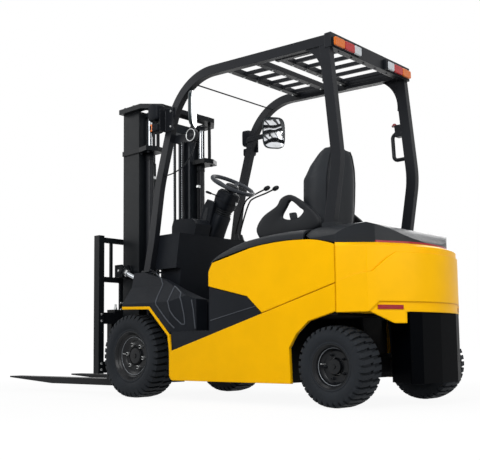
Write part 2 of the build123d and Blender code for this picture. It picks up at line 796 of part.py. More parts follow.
with BuildPart() as hood_lid:
    with BuildSketch(side_plane(half_width)):
        with BuildLine():
            Polyline(
                *ahead([(hood_rear, 967), (lid_edge[1])]),
                *ahead([lid_edge[2], lid_edge[3], lid_edge[4]]),
                *ahead(lid_crown[::-1]),
                close=True,
            )
        make_face()
    extrude(amount=2 * half_width)
    with BuildSketch(side_plane(half_width - lid_wall)):
        with BuildLine():
            Polyline(
                *ahead([(hood_rear + 20, 900), (hood_front - 20, 700)]),
                *ahead([(hood_front - 20, hood_front_z + 14), (seat_x + 60, 972)]),
                *ahead([(seat_x - 190, lid_roof_z), (hood_rear + 20, lid_roof_z)]),
                close=True,
            )
        make_face()
    extrude(amount=2 * (half_width - lid_wall), mode=Mode.SUBTRACT)
    with BuildSketch(level(hood_top_z + 2)):
        with Locations((at(seat_x - 20), 0)):
            Rectangle(420, 360)
    extrude(amount=-45)
    for y in (hinge_y + hinge_half, hinge_half - hinge_y):
        with BuildSketch(side_plane(y)):
            with Locations((at(hood_hinge_x), hood_hinge_z)):
                Circle(hinge_radius)
            with BuildLine():
                Polyline(
                    *ahead([(hood_hinge_x, hood_hinge_z), (hood_hinge_x + 40, hood_hinge_z - 2)]),
                    *ahead([(hood_hinge_x + 40, hood_top_z - 6), (hood_hinge_x + 4, hood_top_z - 6)]),
                    close=True,
                )
            make_face()
        extrude(amount=2 * hinge_half)
finish(hood_lid, "hood_lid")

# Seat: cushion, back and the looped hip restraints
cushion_z = hood_top_z + 2
cushion_tall = 120.0
cushion_long = 440.0
restraint_out = seat_width / 2 + 38.3
back_side = [(-126, 0), (-152, 128), (-158, 246), (-220, 338), (-262, 438), (-288, 470), (-318, 460)]
back_side += [(-330, 320), (-318, 62), (-318, -120), (-220.3, -120), (-220.3, 0)]
back_front = [(170, -120), (218, 20), (230, 246), (212, 320), (168, 420), (118, 475)]
loop_outer = [(181, 53), (185, 93), (127, 160), (16, 204), (-19, 254), (-53, 271), (-118, 271)]
loop_outer += [(-203, 215), (-305, 134), (-342, 79), (-311, 43), (-162, 14), (129, 14)]
loop_inner = [(-38, 131), (-78, 203), (-108, 235), (-180, 176), (-208, 151), (-138, 108)]

with BuildPart() as seat_cushion:
    with BuildSketch(level(cushion_z)):
        with Locations((at(seat_x), 0)):
            Rectangle(cushion_long, seat_width)
    extrude(amount=cushion_tall)
    fillet(seat_cushion.edges().filter_by(Axis.Z), 50)
finish(seat_cushion, "seat_cushion")

back_z = cushion_z + cushion_tall + 0.3
with BuildPart() as seat_back:
    with BuildSketch(side_plane(seat_width / 2 - 10)):
        with BuildLine():
            Polyline(*ahead([(seat_x + x, max(back_z + z, cushion_z)) for x, z in back_side]), close=True)
        make_face()
    extrude(amount=seat_width - 20)
    with BuildSketch(cross_plane(seat_x)):
        with BuildLine():
            left_side = [(y, back_z + z) for y, z in back_front]
            Polyline(*left_side, *[(-y, z) for y, z in reversed(left_side)], close=True)
        make_face()
    extrude(amount=-cushion_long, mode=Mode.INTERSECT)
finish(seat_back, "seat_back")

with BuildPart() as hip_restraints:
    with BuildSketch(side_plane(restraint_out)):
        with BuildLine():
            Polyline(*ahead([(seat_x + x, cushion_z + z) for x, z in loop_outer]), close=True)
        make_face()
        with BuildLine():
            Polyline(*ahead([(seat_x + x, cushion_z + z) for x, z in loop_inner]), close=True)
        make_face(mode=Mode.SUBTRACT)
    extrude(amount=38)
    mirror(about=Plane.XZ)
finish(hip_restraints, "hip_restraints")

# Lamps, mirrors and grab handle
tail_lamp_in = 150.0
tail_lamp_out = 440.0
tail_lamp_z = 2156.0
with BuildPart() as tail_lamps:
    with BuildSketch(cross_plane(guard_rear - 46)):
        with Locations(((tail_lamp_in + tail_lamp_out) / 2, tail_lamp_z)):
            Rectangle(tail_lamp_out - tail_lamp_in, 60)
    extrude(amount=-24)
    mirror(about=Plane.XZ)
finish(tail_lamps, "tail_lamps")

lamp_x = -205.0
lamp_y = 500.0
lamp_high_z = 2012.0
lamp_low_z = 1898.0

with BuildPart() as headlamps:
    with BuildSketch(cross_plane(lamp_x)):
        with Locations((lamp_y, lamp_high_z)):
            RectangleRounded(100, 128, 16)
    extrude(amount=42, both=True)
    with BuildSketch(cross_plane(lamp_x)):
        with Locations((lamp_y, lamp_low_z)):
            RectangleRounded(88, 62, 12)
    extrude(amount=36, both=True)
    with BuildSketch(cross_plane(lamp_x - 34)):
        with Locations((guard_half_width + 5 + pin_gap / 2, (lamp_high_z + lamp_low_z) / 2)):
            Rectangle(10, 170)
    extrude(amount=-90)
    with BuildSketch(cross_plane(lamp_x - 30)):
        with Locations((lamp_y - 15, (lamp_high_z + lamp_low_z) / 2)):
            Rectangle(60, 160)
    extrude(amount=-12)
    mirror(about=Plane.XZ)
finish(headlamps, "headlamps")

# Mirrors: each on a round joint at the end of an arm from its front pillar, turned to the driver
mirror_x = -498.0
mirror_y = 441.0
mirror_low_z = 1866.0
mirror_tall = 248.0
mirror_wide = 180.0
joint_z = 1806.0
joint_radius = 48.0
mirror_turn = math.degrees(math.atan2(mirror_y, -mirror_x + 652 + mirror_x))

with BuildPart() as mirrors:
    for side in (1, -1):
        facing = math.radians(side * mirror_turn)
        frame = Plane(
            origin=(at(mirror_x), side * mirror_y, mirror_low_z + mirror_tall / 2),
            x_dir=(-math.sin(facing), math.cos(facing), 0),
            z_dir=(math.cos(facing), math.sin(facing), 0),
        )
        with BuildSketch(frame):
            RectangleRounded(mirror_wide, mirror_tall, 44)
        extrude(amount=16, both=True)
    with BuildSketch(side_plane(mirror_y + 16)):
        with Locations((at(mirror_x), joint_z)):
            Circle(joint_radius)
    extrude(amount=32)
    with BuildSketch(level(joint_z + 20)):
        with Locations((at(mirror_x), mirror_y)):
            Circle(13)
    extrude(amount=mirror_low_z - joint_z)
    with BuildSketch(side_plane(inner_y - 0.3)):
        with BuildLine():
            Polyline(
                *ahead([(-235, 1860), (-225, 1800), (mirror_x + 10, joint_z - 34), (mirror_x + 10, joint_z + 34)]),
                close=True,
            )
        make_face()
    extrude(amount=10)
    with BuildSketch(side_plane(mirror_y - 10)):
        with Locations((at(mirror_x), joint_z)):
            Circle(34)
    extrude(amount=mirror_y - 10 - inner_y + 5)
    with BuildSketch(side_plane(0.3 - inner_y)):
        with BuildLine():
            Polyline(
                *ahead([(-262, 1992), (-252, 1950), (mirror_x + 8, 1950), (mirror_x + 8, 1992)]),
                close=True,
            )
        make_face()
    extrude(amount=-10)
    with BuildSketch(side_plane(-inner_y + 6)):
        with Locations((at(mirror_x + 18), 1971)):
            Circle(20)
    extrude(amount=30)
finish(mirrors, "mirrors")

# Grab handle on the right rear pillar, with the box for its button
handle_top = 1828.0
handle_low = 1592.0
handle_radius = 13.0
handle_x = guard_rear + 82
with BuildPart() as grab_handle:
    with BuildSketch(side_plane(2 - guard_half_width + guard_tube_wide - 4)):
        with BuildLine():
            Polyline(
                *ahead([(guard_rear + 10.4, handle_top), (handle_x - 26, handle_top), (handle_x - 34, handle_top - 82)]),
                *ahead([(guard_rear + 2.2, handle_top - 82)]),
                close=True,
            )
        make_face()
    extrude(amount=guard_tube_wide - 4)
    with BuildLine(side_plane(guard_tube_wide / 2 - guard_half_width)) as handle_route:
        FilletPolyline(
            *ahead([(handle_x - 45, handle_top - 40), (handle_x, handle_top - 70), (handle_x - 8, handle_low)]),
            *ahead([(guard_rear - 12, handle_low)]),
            radius=30,
        )
    with BuildSketch(
        Plane(origin=handle_route.line @ 0, x_dir=(0, 1, 0), z_dir=handle_route.line % 0)
    ):
        Circle(handle_radius)
    sweep(path=handle_route.line)
finish(grab_handle, "grab_handle")

# Drive axle across the frame, its hubs reaching into the front wheels
with BuildPart() as drive_axle:
    with BuildSketch(side_plane(front_plate_y + wall)):
        with Locations((axle_x, front_tyre_radius)):
            Circle(axle_bore)
    extrude(amount=2 * (front_plate_y + wall))
    with BuildSketch(side_plane(front_wheel_y + 50)):
        with Locations((axle_x, front_tyre_radius)):
            Circle(pivot_radius)
    extrude(amount=2 * (front_wheel_y + 50))
finish(drive_axle, "drive_axle")

# Steering axle: a beam with a fork at each end for the knuckle
beam_end = kingpin_y - 48
with BuildPart() as steer_axle:
    with BuildSketch(cross_plane(-wheelbase)):
        with BuildLine():
            Polyline(
                (-beam_end, rear_tyre_radius + 45), (beam_end, rear_tyre_radius + 45),
                (beam_end, rear_tyre_radius - 45), (-beam_end, rear_tyre_radius - 45), close=True
            )
        make_face()
    extrude(amount=steer_beam_width / 2, both=True)
    for top in (rear_tyre_radius + 70, rear_tyre_radius - 45):
        with BuildSketch(level(top)):
            with Locations((at(-wheelbase), 0)):
                SlotOverall(2 * kingpin_y + 80, 80, rotation=90)
        extrude(amount=-25)
    with BuildSketch(cross_plane(-wheelbase)):
        with Locations((0, rear_tyre_radius)):
            Rectangle(2 * beam_end, 139)
    extrude(amount=40, both=True)
    with BuildSketch(cross_plane(-wheelbase)):
        with Locations((0, rear_tyre_radius)):
            Circle(40)
    extrude(amount=95 - wall / 2, both=True)
    with BuildSketch(level(rear_tyre_radius + 80)):
        with Locations((at(-wheelbase), kingpin_y), (at(-wheelbase), -kingpin_y)):
            Circle(kingpin_radius)
    extrude(amount=-160, mode=Mode.SUBTRACT)
finish(steer_axle, "steer_axle")

# Outer mast: two channels open inwards, the top yoke, the side brackets and the pivot lugs
mast_rear = mast_front - rail_depth
pivot_z = front_tyre_radius
yoke_rear = -15.0
lug_thick = 28.0
guide_x = 34.0
guide_y = 277.0
guide_radius = 13.0
rod_x = mast_rear - lift_cylinder_radius - 3
rod_y = mast_half_width - rail_flange - 4

with BuildPart() as outer_mast:
    with BuildSketch(level(mast_bottom_z)):
        with Locations((at(mast_front - rail_depth / 2), mast_half_width - rail_flange / 2)):
            Rectangle(rail_depth, rail_flange)
        with Locations((at(mast_front - rail_depth / 2), mast_half_width - rail_web - rail_flange / 2)):
            Rectangle(rail_depth - 2 * rail_flange_thick, rail_flange, mode=Mode.SUBTRACT)
    extrude(amount=mast_top_z - mast_plate - mast_bottom_z)
    with BuildSketch(level(mast_top_z - 220)):
        with Locations((at(mast_front - rail_depth / 2), mast_half_width - rail_web - (mast_gap - 0.3) / 2)):
            Rectangle(70, mast_gap - 0.3)
    extrude(amount=140)
    with BuildSketch(level(mast_top_z)):
        with BuildLine():
            Polyline(
                *ahead([(mast_front, mast_half_width - rail_web), (mast_front, 398), (98, 398)]),
                *ahead([(yoke_rear, 284), (yoke_rear, 0), (75, 0), (75, 240)]),
                *ahead([(105, mast_half_width - rail_web)]),
                close=True,
            )
        make_face()
    extrude(amount=-mast_plate)
    with BuildSketch(level(bracket_z)):
        with BuildLine():
            Polyline(
                *ahead([(mast_front, mast_half_width - 2), (mast_front, mast_half_width + 12)]),
                *ahead([(150, mast_half_width + 12), (52, 380), (14, 300), (30, 215), (mast_rear, 215)]),
                *ahead([(mast_rear, mast_half_width - 2)]),
                close=True,
            )
        make_face()
    extrude(amount=mast_plate)
    with BuildSketch(level(bracket_z + mast_plate - 2)):
        with Locations((at(guide_x), guide_y)):
            Circle(guide_radius)
    extrude(amount=mast_top_z - bracket_z - 2 * mast_plate + 4)
    with BuildSketch(side_plane(mast_half_width - rail_web)):
        with BuildLine():
            Polyline(
                *ahead([(mast_rear + 2, pivot_z + 90), (-10, pivot_z + 95), (-95, pivot_z)]),
                *ahead([(-10, pivot_z - 95), (mast_rear + 2, pivot_z - 120)]),
                close=True,
            )
        make_face()
    extrude(amount=lug_thick)
    with BuildSketch(level(mast_bottom_z + 40)):
        with Locations((at((rod_x - lift_cylinder_radius + mast_rear + rail_flange_thick) / 2), rod_y)):
            Rectangle(mast_rear + rail_flange_thick - rod_x + lift_cylinder_radius, 2 * lift_cylinder_radius)
    extrude(amount=20)
    with BuildSketch(side_plane(tilt_y + 34)):
        with BuildLine():
            Polyline(
                *ahead([(mast_front, tilt_eye_z + 46), (mast_front, tilt_eye_z - 46)]),
                *ahead([(tilt_eye_x - 20, tilt_eye_z - 46), (tilt_eye_x - 40, tilt_eye_z)]),
                *ahead([(tilt_eye_x - 20, tilt_eye_z + 46)]),
                close=True,
            )
        make_face()
    extrude(amount=tilt_y + 34 - mast_half_width + 2)
    with BuildSketch(side_plane(tilt_y + 20)):
        with Locations((at(tilt_eye_x - 30), tilt_eye_z - 20)):
            Rectangle(140, 140)
    extrude(amount=40, mode=Mode.SUBTRACT)
    with BuildSketch(side_plane(tilt_y + 30)):
        with Locations((at(tilt_eye_x), tilt_eye_z)):
            Circle(tilt_pin_radius)
    extrude(amount=60)
    mirror(about=Plane.XZ)
    for z, tall in [(mast_bottom_z, 60), (980, 70)]:
        with BuildSketch(level(z)):
            with Locations((at(mast_rear + rail_flange_thick / 2), 0)):
                Rectangle(rail_flange_thick, 2 * (mast_half_width - rail_flange) + 4)
        extrude(amount=tall)
    with BuildSketch(side_plane(mast_half_width + 1)):
        with Locations((axle_x, pivot_z)):
            Circle(pivot_radius + pin_gap)
    extrude(amount=2 * mast_half_width + 2, mode=Mode.SUBTRACT)
    with BuildSketch(level(bracket_z - 5)):
        with Locations((at(rod_x), rod_y), (at(rod_x), -rod_y)):
            Circle(lift_rod_radius + 1)
    extrude(amount=mast_plate + 10, mode=Mode.SUBTRACT)
finish(outer_mast, "outer_mast")

# Lift cylinders on the outer mast, their rods on the inner mast
with BuildPart() as lift_cylinders:
    with BuildSketch(level(mast_bottom_z + 60)):
        with Locations((at(rod_x), rod_y), (at(rod_x), -rod_y)):
            Circle(lift_cylinder_radius)
            Circle(lift_rod_radius + 1, mode=Mode.SUBTRACT)
    extrude(amount=bracket_z - mast_bottom_z - 60)
finish(lift_cylinders, "lift_cylinders")

arm_z = mast_top_z - mast_plate - 34
with BuildPart() as lift_rods:
    with BuildSketch(level(arm_z)):
        with Locations((at(rod_x), rod_y), (at(rod_x), -rod_y)):
            Circle(lift_rod_radius)
    extrude(amount=-(arm_z - mast_bottom_z - 80))
finish(lift_rods, "lift_rods")

# Inner mast: two nested rails with their ties and the arms over the lift rods
inner_outer_y = mast_half_width - rail_web - mast_gap
inner_inner_y = 206.0
inner_front = mast_front - rail_flange_thick - mast_gap
inner_rear = mast_rear + rail_flange_thick + mast_gap
inner_flange = 18.0
inner_web = 16.0
web_y = 268.0
pad_thick = mast_gap - 0.3
chain_x = inner_rear + 20 + chain_wheel_radius + 14

with BuildPart() as inner_mast:
    with BuildSketch(level(mast_bottom_z + 10)):
        with Locations((at((inner_front + inner_rear) / 2), (inner_outer_y + inner_inner_y) / 2)):
            Rectangle(inner_front - inner_rear, inner_outer_y - inner_inner_y)
            with Locations((0, (inner_outer_y - inner_inner_y + inner_web) / 4 + 1.5)):
                Rectangle(
                    inner_front - inner_rear - 2 * inner_flange,
                    (inner_outer_y - inner_inner_y - inner_web) / 2 + 3,
                    mode=Mode.SUBTRACT,
                )
            with Locations((0, -(inner_outer_y - inner_inner_y + inner_web) / 4 - 1.5)):
                Rectangle(
                    inner_front - inner_rear - 2 * inner_flange,
                    (inner_outer_y - inner_inner_y - inner_web) / 2 + 3,
                    mode=Mode.SUBTRACT,
                )
    extrude(amount=arm_z + 26 - mast_bottom_z - 10)
    with BuildSketch(level(arm_z)):
        with BuildLine():
            Polyline(
                *ahead([(inner_rear + inner_flange, inner_inner_y), (inner_rear + inner_flange, 270)]),
                *ahead([(mast_rear - 8, 270), (mast_rear - 8, 298), (rod_x - 26, 298), (rod_x - 26, 240)]),
                *ahead([(rod_x, inner_inner_y)]),
                close=True,
            )
        make_face()
    extrude(amount=26)
    with BuildSketch(level(mast_bottom_z + 30)):
        with Locations((at((inner_front + inner_rear) / 2), inner_outer_y + pad_thick / 2)):
            Rectangle(70, pad_thick)
    extrude(amount=160)
    with BuildSketch(side_plane(chain_y - chain_wheel_width / 2)):
        with BuildLine():
            Polyline(
                *ahead([(inner_rear + 2, arm_z + 20), (inner_rear + 2, arm_z - 38), (chain_x - 20, arm_z - 78)]),
                *ahead([(chain_x + 20, arm_z - 78), (chain_x + 24, arm_z - 40)]),
                close=True,
            )
        make_face()
    extrude(amount=14)
    mirror(about=Plane.XZ)
    for z, tall in [(arm_z - 40, 66), (980, 80), (mast_bottom_z + 10, 60)]:
        with BuildSketch(level(z)):
            with Locations((at(inner_rear + 8), 0)):
                Rectangle(16, 2 * inner_inner_y + 2)
        extrude(amount=tall)
finish(inner_mast, "inner_mast")

# Chains: a wheel on each side at the inner mast's head with the chain round it
with BuildPart() as lift_chains:
    for side in (1, -1):
        with BuildSketch(side_plane(side * chain_y + chain_wheel_width / 2)):
            with Locations((at(chain_x), arm_z - 60)):
                Circle(chain_wheel_radius)
        extrude(amount=chain_wheel_width)
        for x in (chain_x - chain_wheel_radius - 5, chain_x + chain_wheel_radius + 5):
            with BuildSketch(side_plane(side * chain_y + 12)):
                with Locations((at(x), (arm_z - 60 + 640) / 2)):
                    Rectangle(12, arm_z - 60 - 640)
            extrude(amount=24)
        with BuildSketch(side_plane(side * chain_y + 12)):
            with Locations((at(chain_x), arm_z - 60)):
                Circle(chain_wheel_radius + 11)
                Circle(chain_wheel_radius - 1, mode=Mode.SUBTRACT)
                with Locations((0, -40)):
                    Rectangle(200, 80, mode=Mode.SUBTRACT)
        extrude(amount=24)
finish(lift_chains, "lift_chains")

# Carriage: two bars across, carried by side plates that run inside the inner rails
bar_front = fork_face - fork_thick
bar_rear = bar_front - carriage_bar
with BuildPart() as carriage:
    for z, tall in [(165, 85), (530, 85)]:
        with BuildSketch(level(z)):
            with Locations((at((bar_front + bar_rear) / 2), 0)):
                Rectangle(carriage_bar, 2 * backrest_half_width - 100)
        extrude(amount=tall)
    for side in (1, -1):
        with BuildSketch(side_plane(side * 190 + 9)):
            with BuildLine():
                Polyline(
                    *ahead([(bar_rear, 165), (bar_rear, 615), (300, 640), (230, 640), (230, 165)]), close=True
                )
            make_face()
        extrude(amount=18)
    for z in (215, 400, 590):
        with BuildSketch(side_plane(web_y - inner_web / 2 - 0.4)):
            with Locations((at((inner_front + inner_rear) / 2), z)):
                Circle((inner_front - inner_rear) / 2 - inner_flange - 0.4)
        extrude(amount=web_y - inner_web / 2 - 190)
        with BuildSketch(side_plane(-190)):
            with Locations((at((inner_front + inner_rear) / 2), z)):
                Circle((inner_front - inner_rear) / 2 - inner_flange - 0.4)
        extrude(amount=web_y - inner_web / 2 - 0.4 - 190)
finish(carriage, "carriage")

# Load backrest: outer posts, two cross bars and the bars between them
with BuildPart() as load_backrest:
    with BuildSketch(level(160)):
        with Locations((at(bar_front - 22), backrest_half_width - 25), (at(bar_front - 22), 25 - backrest_half_width)):
            Rectangle(60, 50)
    extrude(amount=backrest_top_z - 160)
    for z in (backrest_top_z - 48, 845):
        with BuildSketch(level(z)):
            with Locations((at(bar_front - 12), 0)):
                Rectangle(20, 2 * backrest_half_width - 60)
        extrude(amount=40)
    for y in (-400, -240, -80, 80, 240, 400):
        with BuildSketch(level(845)):
            with Locations((at(bar_front - 12), y)):
                Rectangle(16, 22)
        extrude(amount=backrest_top_z - 845 - 20)
    for y in (-300, 300):
        with BuildSketch(level(615)):
            with Locations((at(bar_front - 14), y)):
                Rectangle(16, 40)
        extrude(amount=240)
finish(load_backrest, "load_backrest")

# Forks: two, each a shank and a blade that thins towards its tip
with BuildPart() as forks:
    with BuildSketch(side_plane(fork_spread)):
        with BuildLine():
            Polyline(
                *ahead([(bar_front, shank_top_z), (fork_face, shank_top_z), (fork_face, fork_bottom_z + fork_thick)]),
                *ahead([(reach, fork_bottom_z + fork_thick), (reach, fork_bottom_z + fork_thick - 12)]),
                *ahead([(reach - 620, fork_bottom_z), (bar_front, fork_bottom_z)]),
                close=True,
            )
        make_face()
    extrude(amount=fork_width)
    mirror(about=Plane.XZ)
finish(forks, "forks")

# Tilt cylinders: barrels hinged on the frame, rods with an eye round the mast's pin
tilt_axis = (math.cos(math.radians(tilt_slope)), 0, math.sin(math.radians(tilt_slope)))
barrel_length = 190.0
with BuildPart() as tilt_barrels:
    for y in (tilt_y, -tilt_y):
        barrel_plane = Plane(origin=(at(tilt_anchor_x), y, tilt_anchor_z), x_dir=(0, 1, 0), z_dir=tilt_axis)
        with BuildSketch(barrel_plane.offset(30)):
            Circle(tilt_barrel_radius)
            Circle(tilt_rod_radius + 1, mode=Mode.SUBTRACT)
        extrude(amount=barrel_length)
        with BuildSketch(side_plane(y + 15)):
            with Locations((at(tilt_anchor_x), tilt_anchor_z)):
                Circle(34)
        extrude(amount=30)
        with BuildSketch(side_plane(y + 30)):
            with Locations((at(tilt_anchor_x), tilt_anchor_z)):
                Circle(tilt_pin_radius + pin_gap)
        extrude(amount=60, mode=Mode.SUBTRACT)
finish(tilt_barrels, "tilt_barrels")

with BuildPart() as tilt_rods:
    for y in (tilt_y, -tilt_y):
        rod_plane = Plane(origin=(at(tilt_anchor_x), y, tilt_anchor_z), x_dir=(0, 1, 0), z_dir=tilt_axis)
        with BuildSketch(rod_plane.offset(150)):
            Circle(tilt_rod_radius)
        extrude(amount=tilt_reach - 150)
        with BuildSketch(side_plane(y + 14)):
            with Locations((at(tilt_eye_x), tilt_eye_z)):
                Circle(32)
        extrude(amount=28)
        with BuildSketch(side_plane(y + 30)):
            with Locations((at(tilt_eye_x), tilt_eye_z)):
                Circle(tilt_pin_radius + tilt_eye_gap)
        extrude(amount=60, mode=Mode.SUBTRACT)
finish(tilt_rods, "tilt_rods")

# Wheels
def wheel_plane_at(x, y, z):
    """Plane through a wheel's axis, local x outwards from the truck and local y up."""
    side = 1 if y > 0 else -1
    return Plane(origin=(at(x), y, z), x_dir=(0, side, 0), z_dir=(side, 0, 0))


def make_tyre(x, y, radius, width, rim_radius):
    """A tyre round its own axis, as one turned ring."""
    frame = wheel_plane_at(x, y, radius)
    with BuildPart() as tyre:
        with BuildSketch(frame):
            with BuildLine():
                Polyline(
                    (-width * 0.40, rim_radius),
                    (-width / 2, rim_radius + 0.3 * (radius - rim_radius)),
                    (-width / 2, rim_radius + 0.62 * (radius - rim_radius)),
                    (-width * 0.40, radius - 6),
                    (-width * 0.25, radius),
                    (width * 0.25, radius),
                    (width * 0.40, radius - 6),
                    (width / 2, rim_radius + 0.62 * (radius - rim_radius)),
                    (width / 2, rim_radius + 0.3 * (radius - rim_radius)),
                    (width * 0.40, rim_radius),
                    close=True,
                )
            make_face()
        revolve(axis=Axis((at(x), y, radius), (0, 1, 0)))
    return tyre


def make_rim(x, y, radius, width, rim_radius, disc_out, bore):
    """A rim: the band under the tyre and the disc that bolts to the hub."""
    frame = wheel_plane_at(x, y, radius)
    with BuildPart() as rim:
        with BuildSketch(frame):
            with BuildLine():
                Polyline(
                    (-width * 0.40, rim_radius),
                    (-width * 0.40, rim_radius - 12),
                    (disc_out - 14, rim_radius - 12),
                    (disc_out - 14, bore),
                    (disc_out, bore),
                    (disc_out, rim_radius - 12),
                    (width * 0.40, rim_radius - 12),
                    (width * 0.40, rim_radius),
                    close=True,
                )
            make_face()
        revolve(axis=Axis((at(x), y, radius), (0, 1, 0)))
    return rim


for name, side in (("left", 1), ("right", -1)):
    front_tyre = make_tyre(0, side * front_wheel_y, front_tyre_radius, front_tyre_width, front_rim_radius)
    finish(front_tyre, f"front_tyre_{name}")
    front_rim = make_rim(
        0, side * front_wheel_y, front_tyre_radius, front_tyre_width, front_rim_radius, 52, pivot_radius + pin_gap
    )
    finish(front_rim, f"front_rim_{name}")
    rear_tyre = make_tyre(-wheelbase, side * rear_wheel_y, rear_tyre_radius, rear_tyre_width, rear_rim_radius)
    finish(rear_tyre, f"rear_tyre_{name}")
    rear_rim = make_rim(
        -wheelbase, side * rear_wheel_y, rear_tyre_radius, rear_tyre_width, rear_rim_radius, 40, 34 + pin_gap
    )
    finish(rear_rim, f"rear_rim_{name}")

# Knuckles: a kingpin in the beam's fork and the stub that carries the wheel
for name, side in (("left", 1), ("right", -1)):
    with BuildPart() as knuckle:
        with BuildSketch(level(rear_tyre_radius + 74)):
            with Locations((at(-wheelbase), side * kingpin_y)):
                Circle(kingpin_radius - pin_gap)
        extrude(amount=-148)
        with BuildSketch(level(rear_tyre_radius + 40)):
            with Locations((at(-wheelbase), side * kingpin_y)):
                Circle(32)
        extrude(amount=-80)
        with BuildSketch(side_plane(side * kingpin_y)):
            with Locations((at(-wheelbase), rear_tyre_radius)):
                Circle(34)
        extrude(amount=-side * (rear_wheel_y - kingpin_y + 50))
    finish(knuckle, f"knuckle_{name}")
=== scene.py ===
"""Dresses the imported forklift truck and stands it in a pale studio.

Every length is in metres, in the truck's own frame: X ahead, Y to the left, Z up, the floor at Z = 0.
"""

import logging
import math
from collections.abc import Iterable
from dataclasses import dataclass, field
from enum import Enum
from functools import reduce
from operator import add

import bmesh
import bpy
import numpy as np
from mathutils import Matrix, Vector


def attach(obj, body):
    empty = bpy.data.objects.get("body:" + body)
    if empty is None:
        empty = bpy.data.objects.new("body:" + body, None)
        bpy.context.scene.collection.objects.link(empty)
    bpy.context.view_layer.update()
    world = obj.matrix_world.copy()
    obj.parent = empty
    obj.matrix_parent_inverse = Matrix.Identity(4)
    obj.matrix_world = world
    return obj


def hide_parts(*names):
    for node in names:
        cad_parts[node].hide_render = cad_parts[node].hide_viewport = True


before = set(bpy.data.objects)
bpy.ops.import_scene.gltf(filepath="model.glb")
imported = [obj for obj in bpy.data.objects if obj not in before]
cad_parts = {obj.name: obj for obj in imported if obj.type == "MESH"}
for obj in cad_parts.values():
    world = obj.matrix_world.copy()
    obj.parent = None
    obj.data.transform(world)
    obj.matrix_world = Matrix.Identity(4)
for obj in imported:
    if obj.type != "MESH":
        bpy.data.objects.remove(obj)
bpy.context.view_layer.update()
LOG = logging.getLogger("truck")

Colour = tuple[float, float, float]
ORIGIN = (0, 0, 0)
AHEAD, BACK = (1, 0, 0), (-1, 0, 0)
LEFT, RIGHT = (0, 1, 0), (0, -1, 0)
UP, DOWN = (0, 0, 1), (0, 0, -1)
AXLE_X = 0.145
FRONT_WHEEL_Y = 0.4755
REAR_WHEEL_Y = 0.489
FRONT_RADIUS = 0.292
REAR_RADIUS = 0.231
REAR_X = AXLE_X - 1.720
FRONT_RIM = 0.168
REAR_RIM = 0.124
FRONT_WIDTH = 0.225
REAR_WIDTH = 0.198
STEEP = 0.9
CLOTH_FRAMES = 20
CLOTH_STIFFNESS = 25.0
SMALLEST = 1e-9


def linear(red: float, green: float, blue: float) -> tuple[float, float, float, float]:
    """The linear colour that shows as a screen colour.

    Linear = screen / 12.92 for dark values, and ((screen + 0.055) / 1.055) ** 2.4 for the others.

    Args:
        red: from 0 to 255, as green and blue are.
        green: the screen's green.
        blue: the screen's blue.

    Returns:
        Red, green, blue and an alpha of 1.
    """
    screen = np.array([red, green, blue], float) / 255
    low, high = screen / 12.92, ((screen + 0.055) / 1.055) ** 2.4
    return tuple(float(v) for v in np.where(screen <= 0.04045, low, high)) + (1.0,)


# Shader maths


class Link:
    """A value on its way between shader nodes; arithmetic on it adds Math nodes."""

    def __init__(self, shader: "Shader", socket: bpy.types.NodeSocket) -> None:
        """Keeps the shader and the socket that the value comes from."""
        self.shader, self.socket = shader, socket

    def _maths(self, operation: str, *terms: "Link | float") -> "Link":
        """One Math node on the given terms."""
        return self.shader.node("ShaderNodeMath", {"operation": operation}, dict(enumerate(terms)))

    def __add__(self, other: "Link | float") -> "Link":
        """Sum."""
        return self._maths("ADD", self, other)

    def __radd__(self, other: float) -> "Link":
        """Sum, the other way round."""
        return self._maths("ADD", other, self)

    def __sub__(self, other: "Link | float") -> "Link":
        """Difference."""
        return self._maths("SUBTRACT", self, other)

    def __rsub__(self, other: float) -> "Link":
        """Difference, the other way round."""
        return self._maths("SUBTRACT", other, self)

    def __mul__(self, other: "Link | float") -> "Link":
        """Product."""
        return self._maths("MULTIPLY", self, other)

    def __rmul__(self, other: float) -> "Link":
        """Product, the other way round."""
        return self._maths("MULTIPLY", other, self)

    def __pow__(self, power: float) -> "Link":
        """Power."""
        return self._maths("POWER", self, power)

    def minimum(self, other: "Link | float") -> "Link":
        """The smaller of two values."""
        return self._maths("MINIMUM", self, other)

    def maximum(self, other: "Link | float") -> "Link":
        """The larger of two values."""
        return self._maths("MAXIMUM", self, other)

    def wave(self, scale: float) -> "Link":
        """A triangle wave from 0 to 1 as the value runs, scale times per unit."""
        return self._maths("PINGPONG", self * (2 * scale), 1.0)

    def step(self, low: float, high: float) -> "Link":
        """0 below low, 1 above high, and smooth between them.

        Args:
            low: where it leaves 0.
            high: where it reaches 1.

        Returns:
            The step.
        """
        return self.shader.node(
            "ShaderNodeMapRange",
            {"interpolation_type": "SMOOTHSTEP"},
            {"Value": self, "From Min": low, "From Max": high},
        )


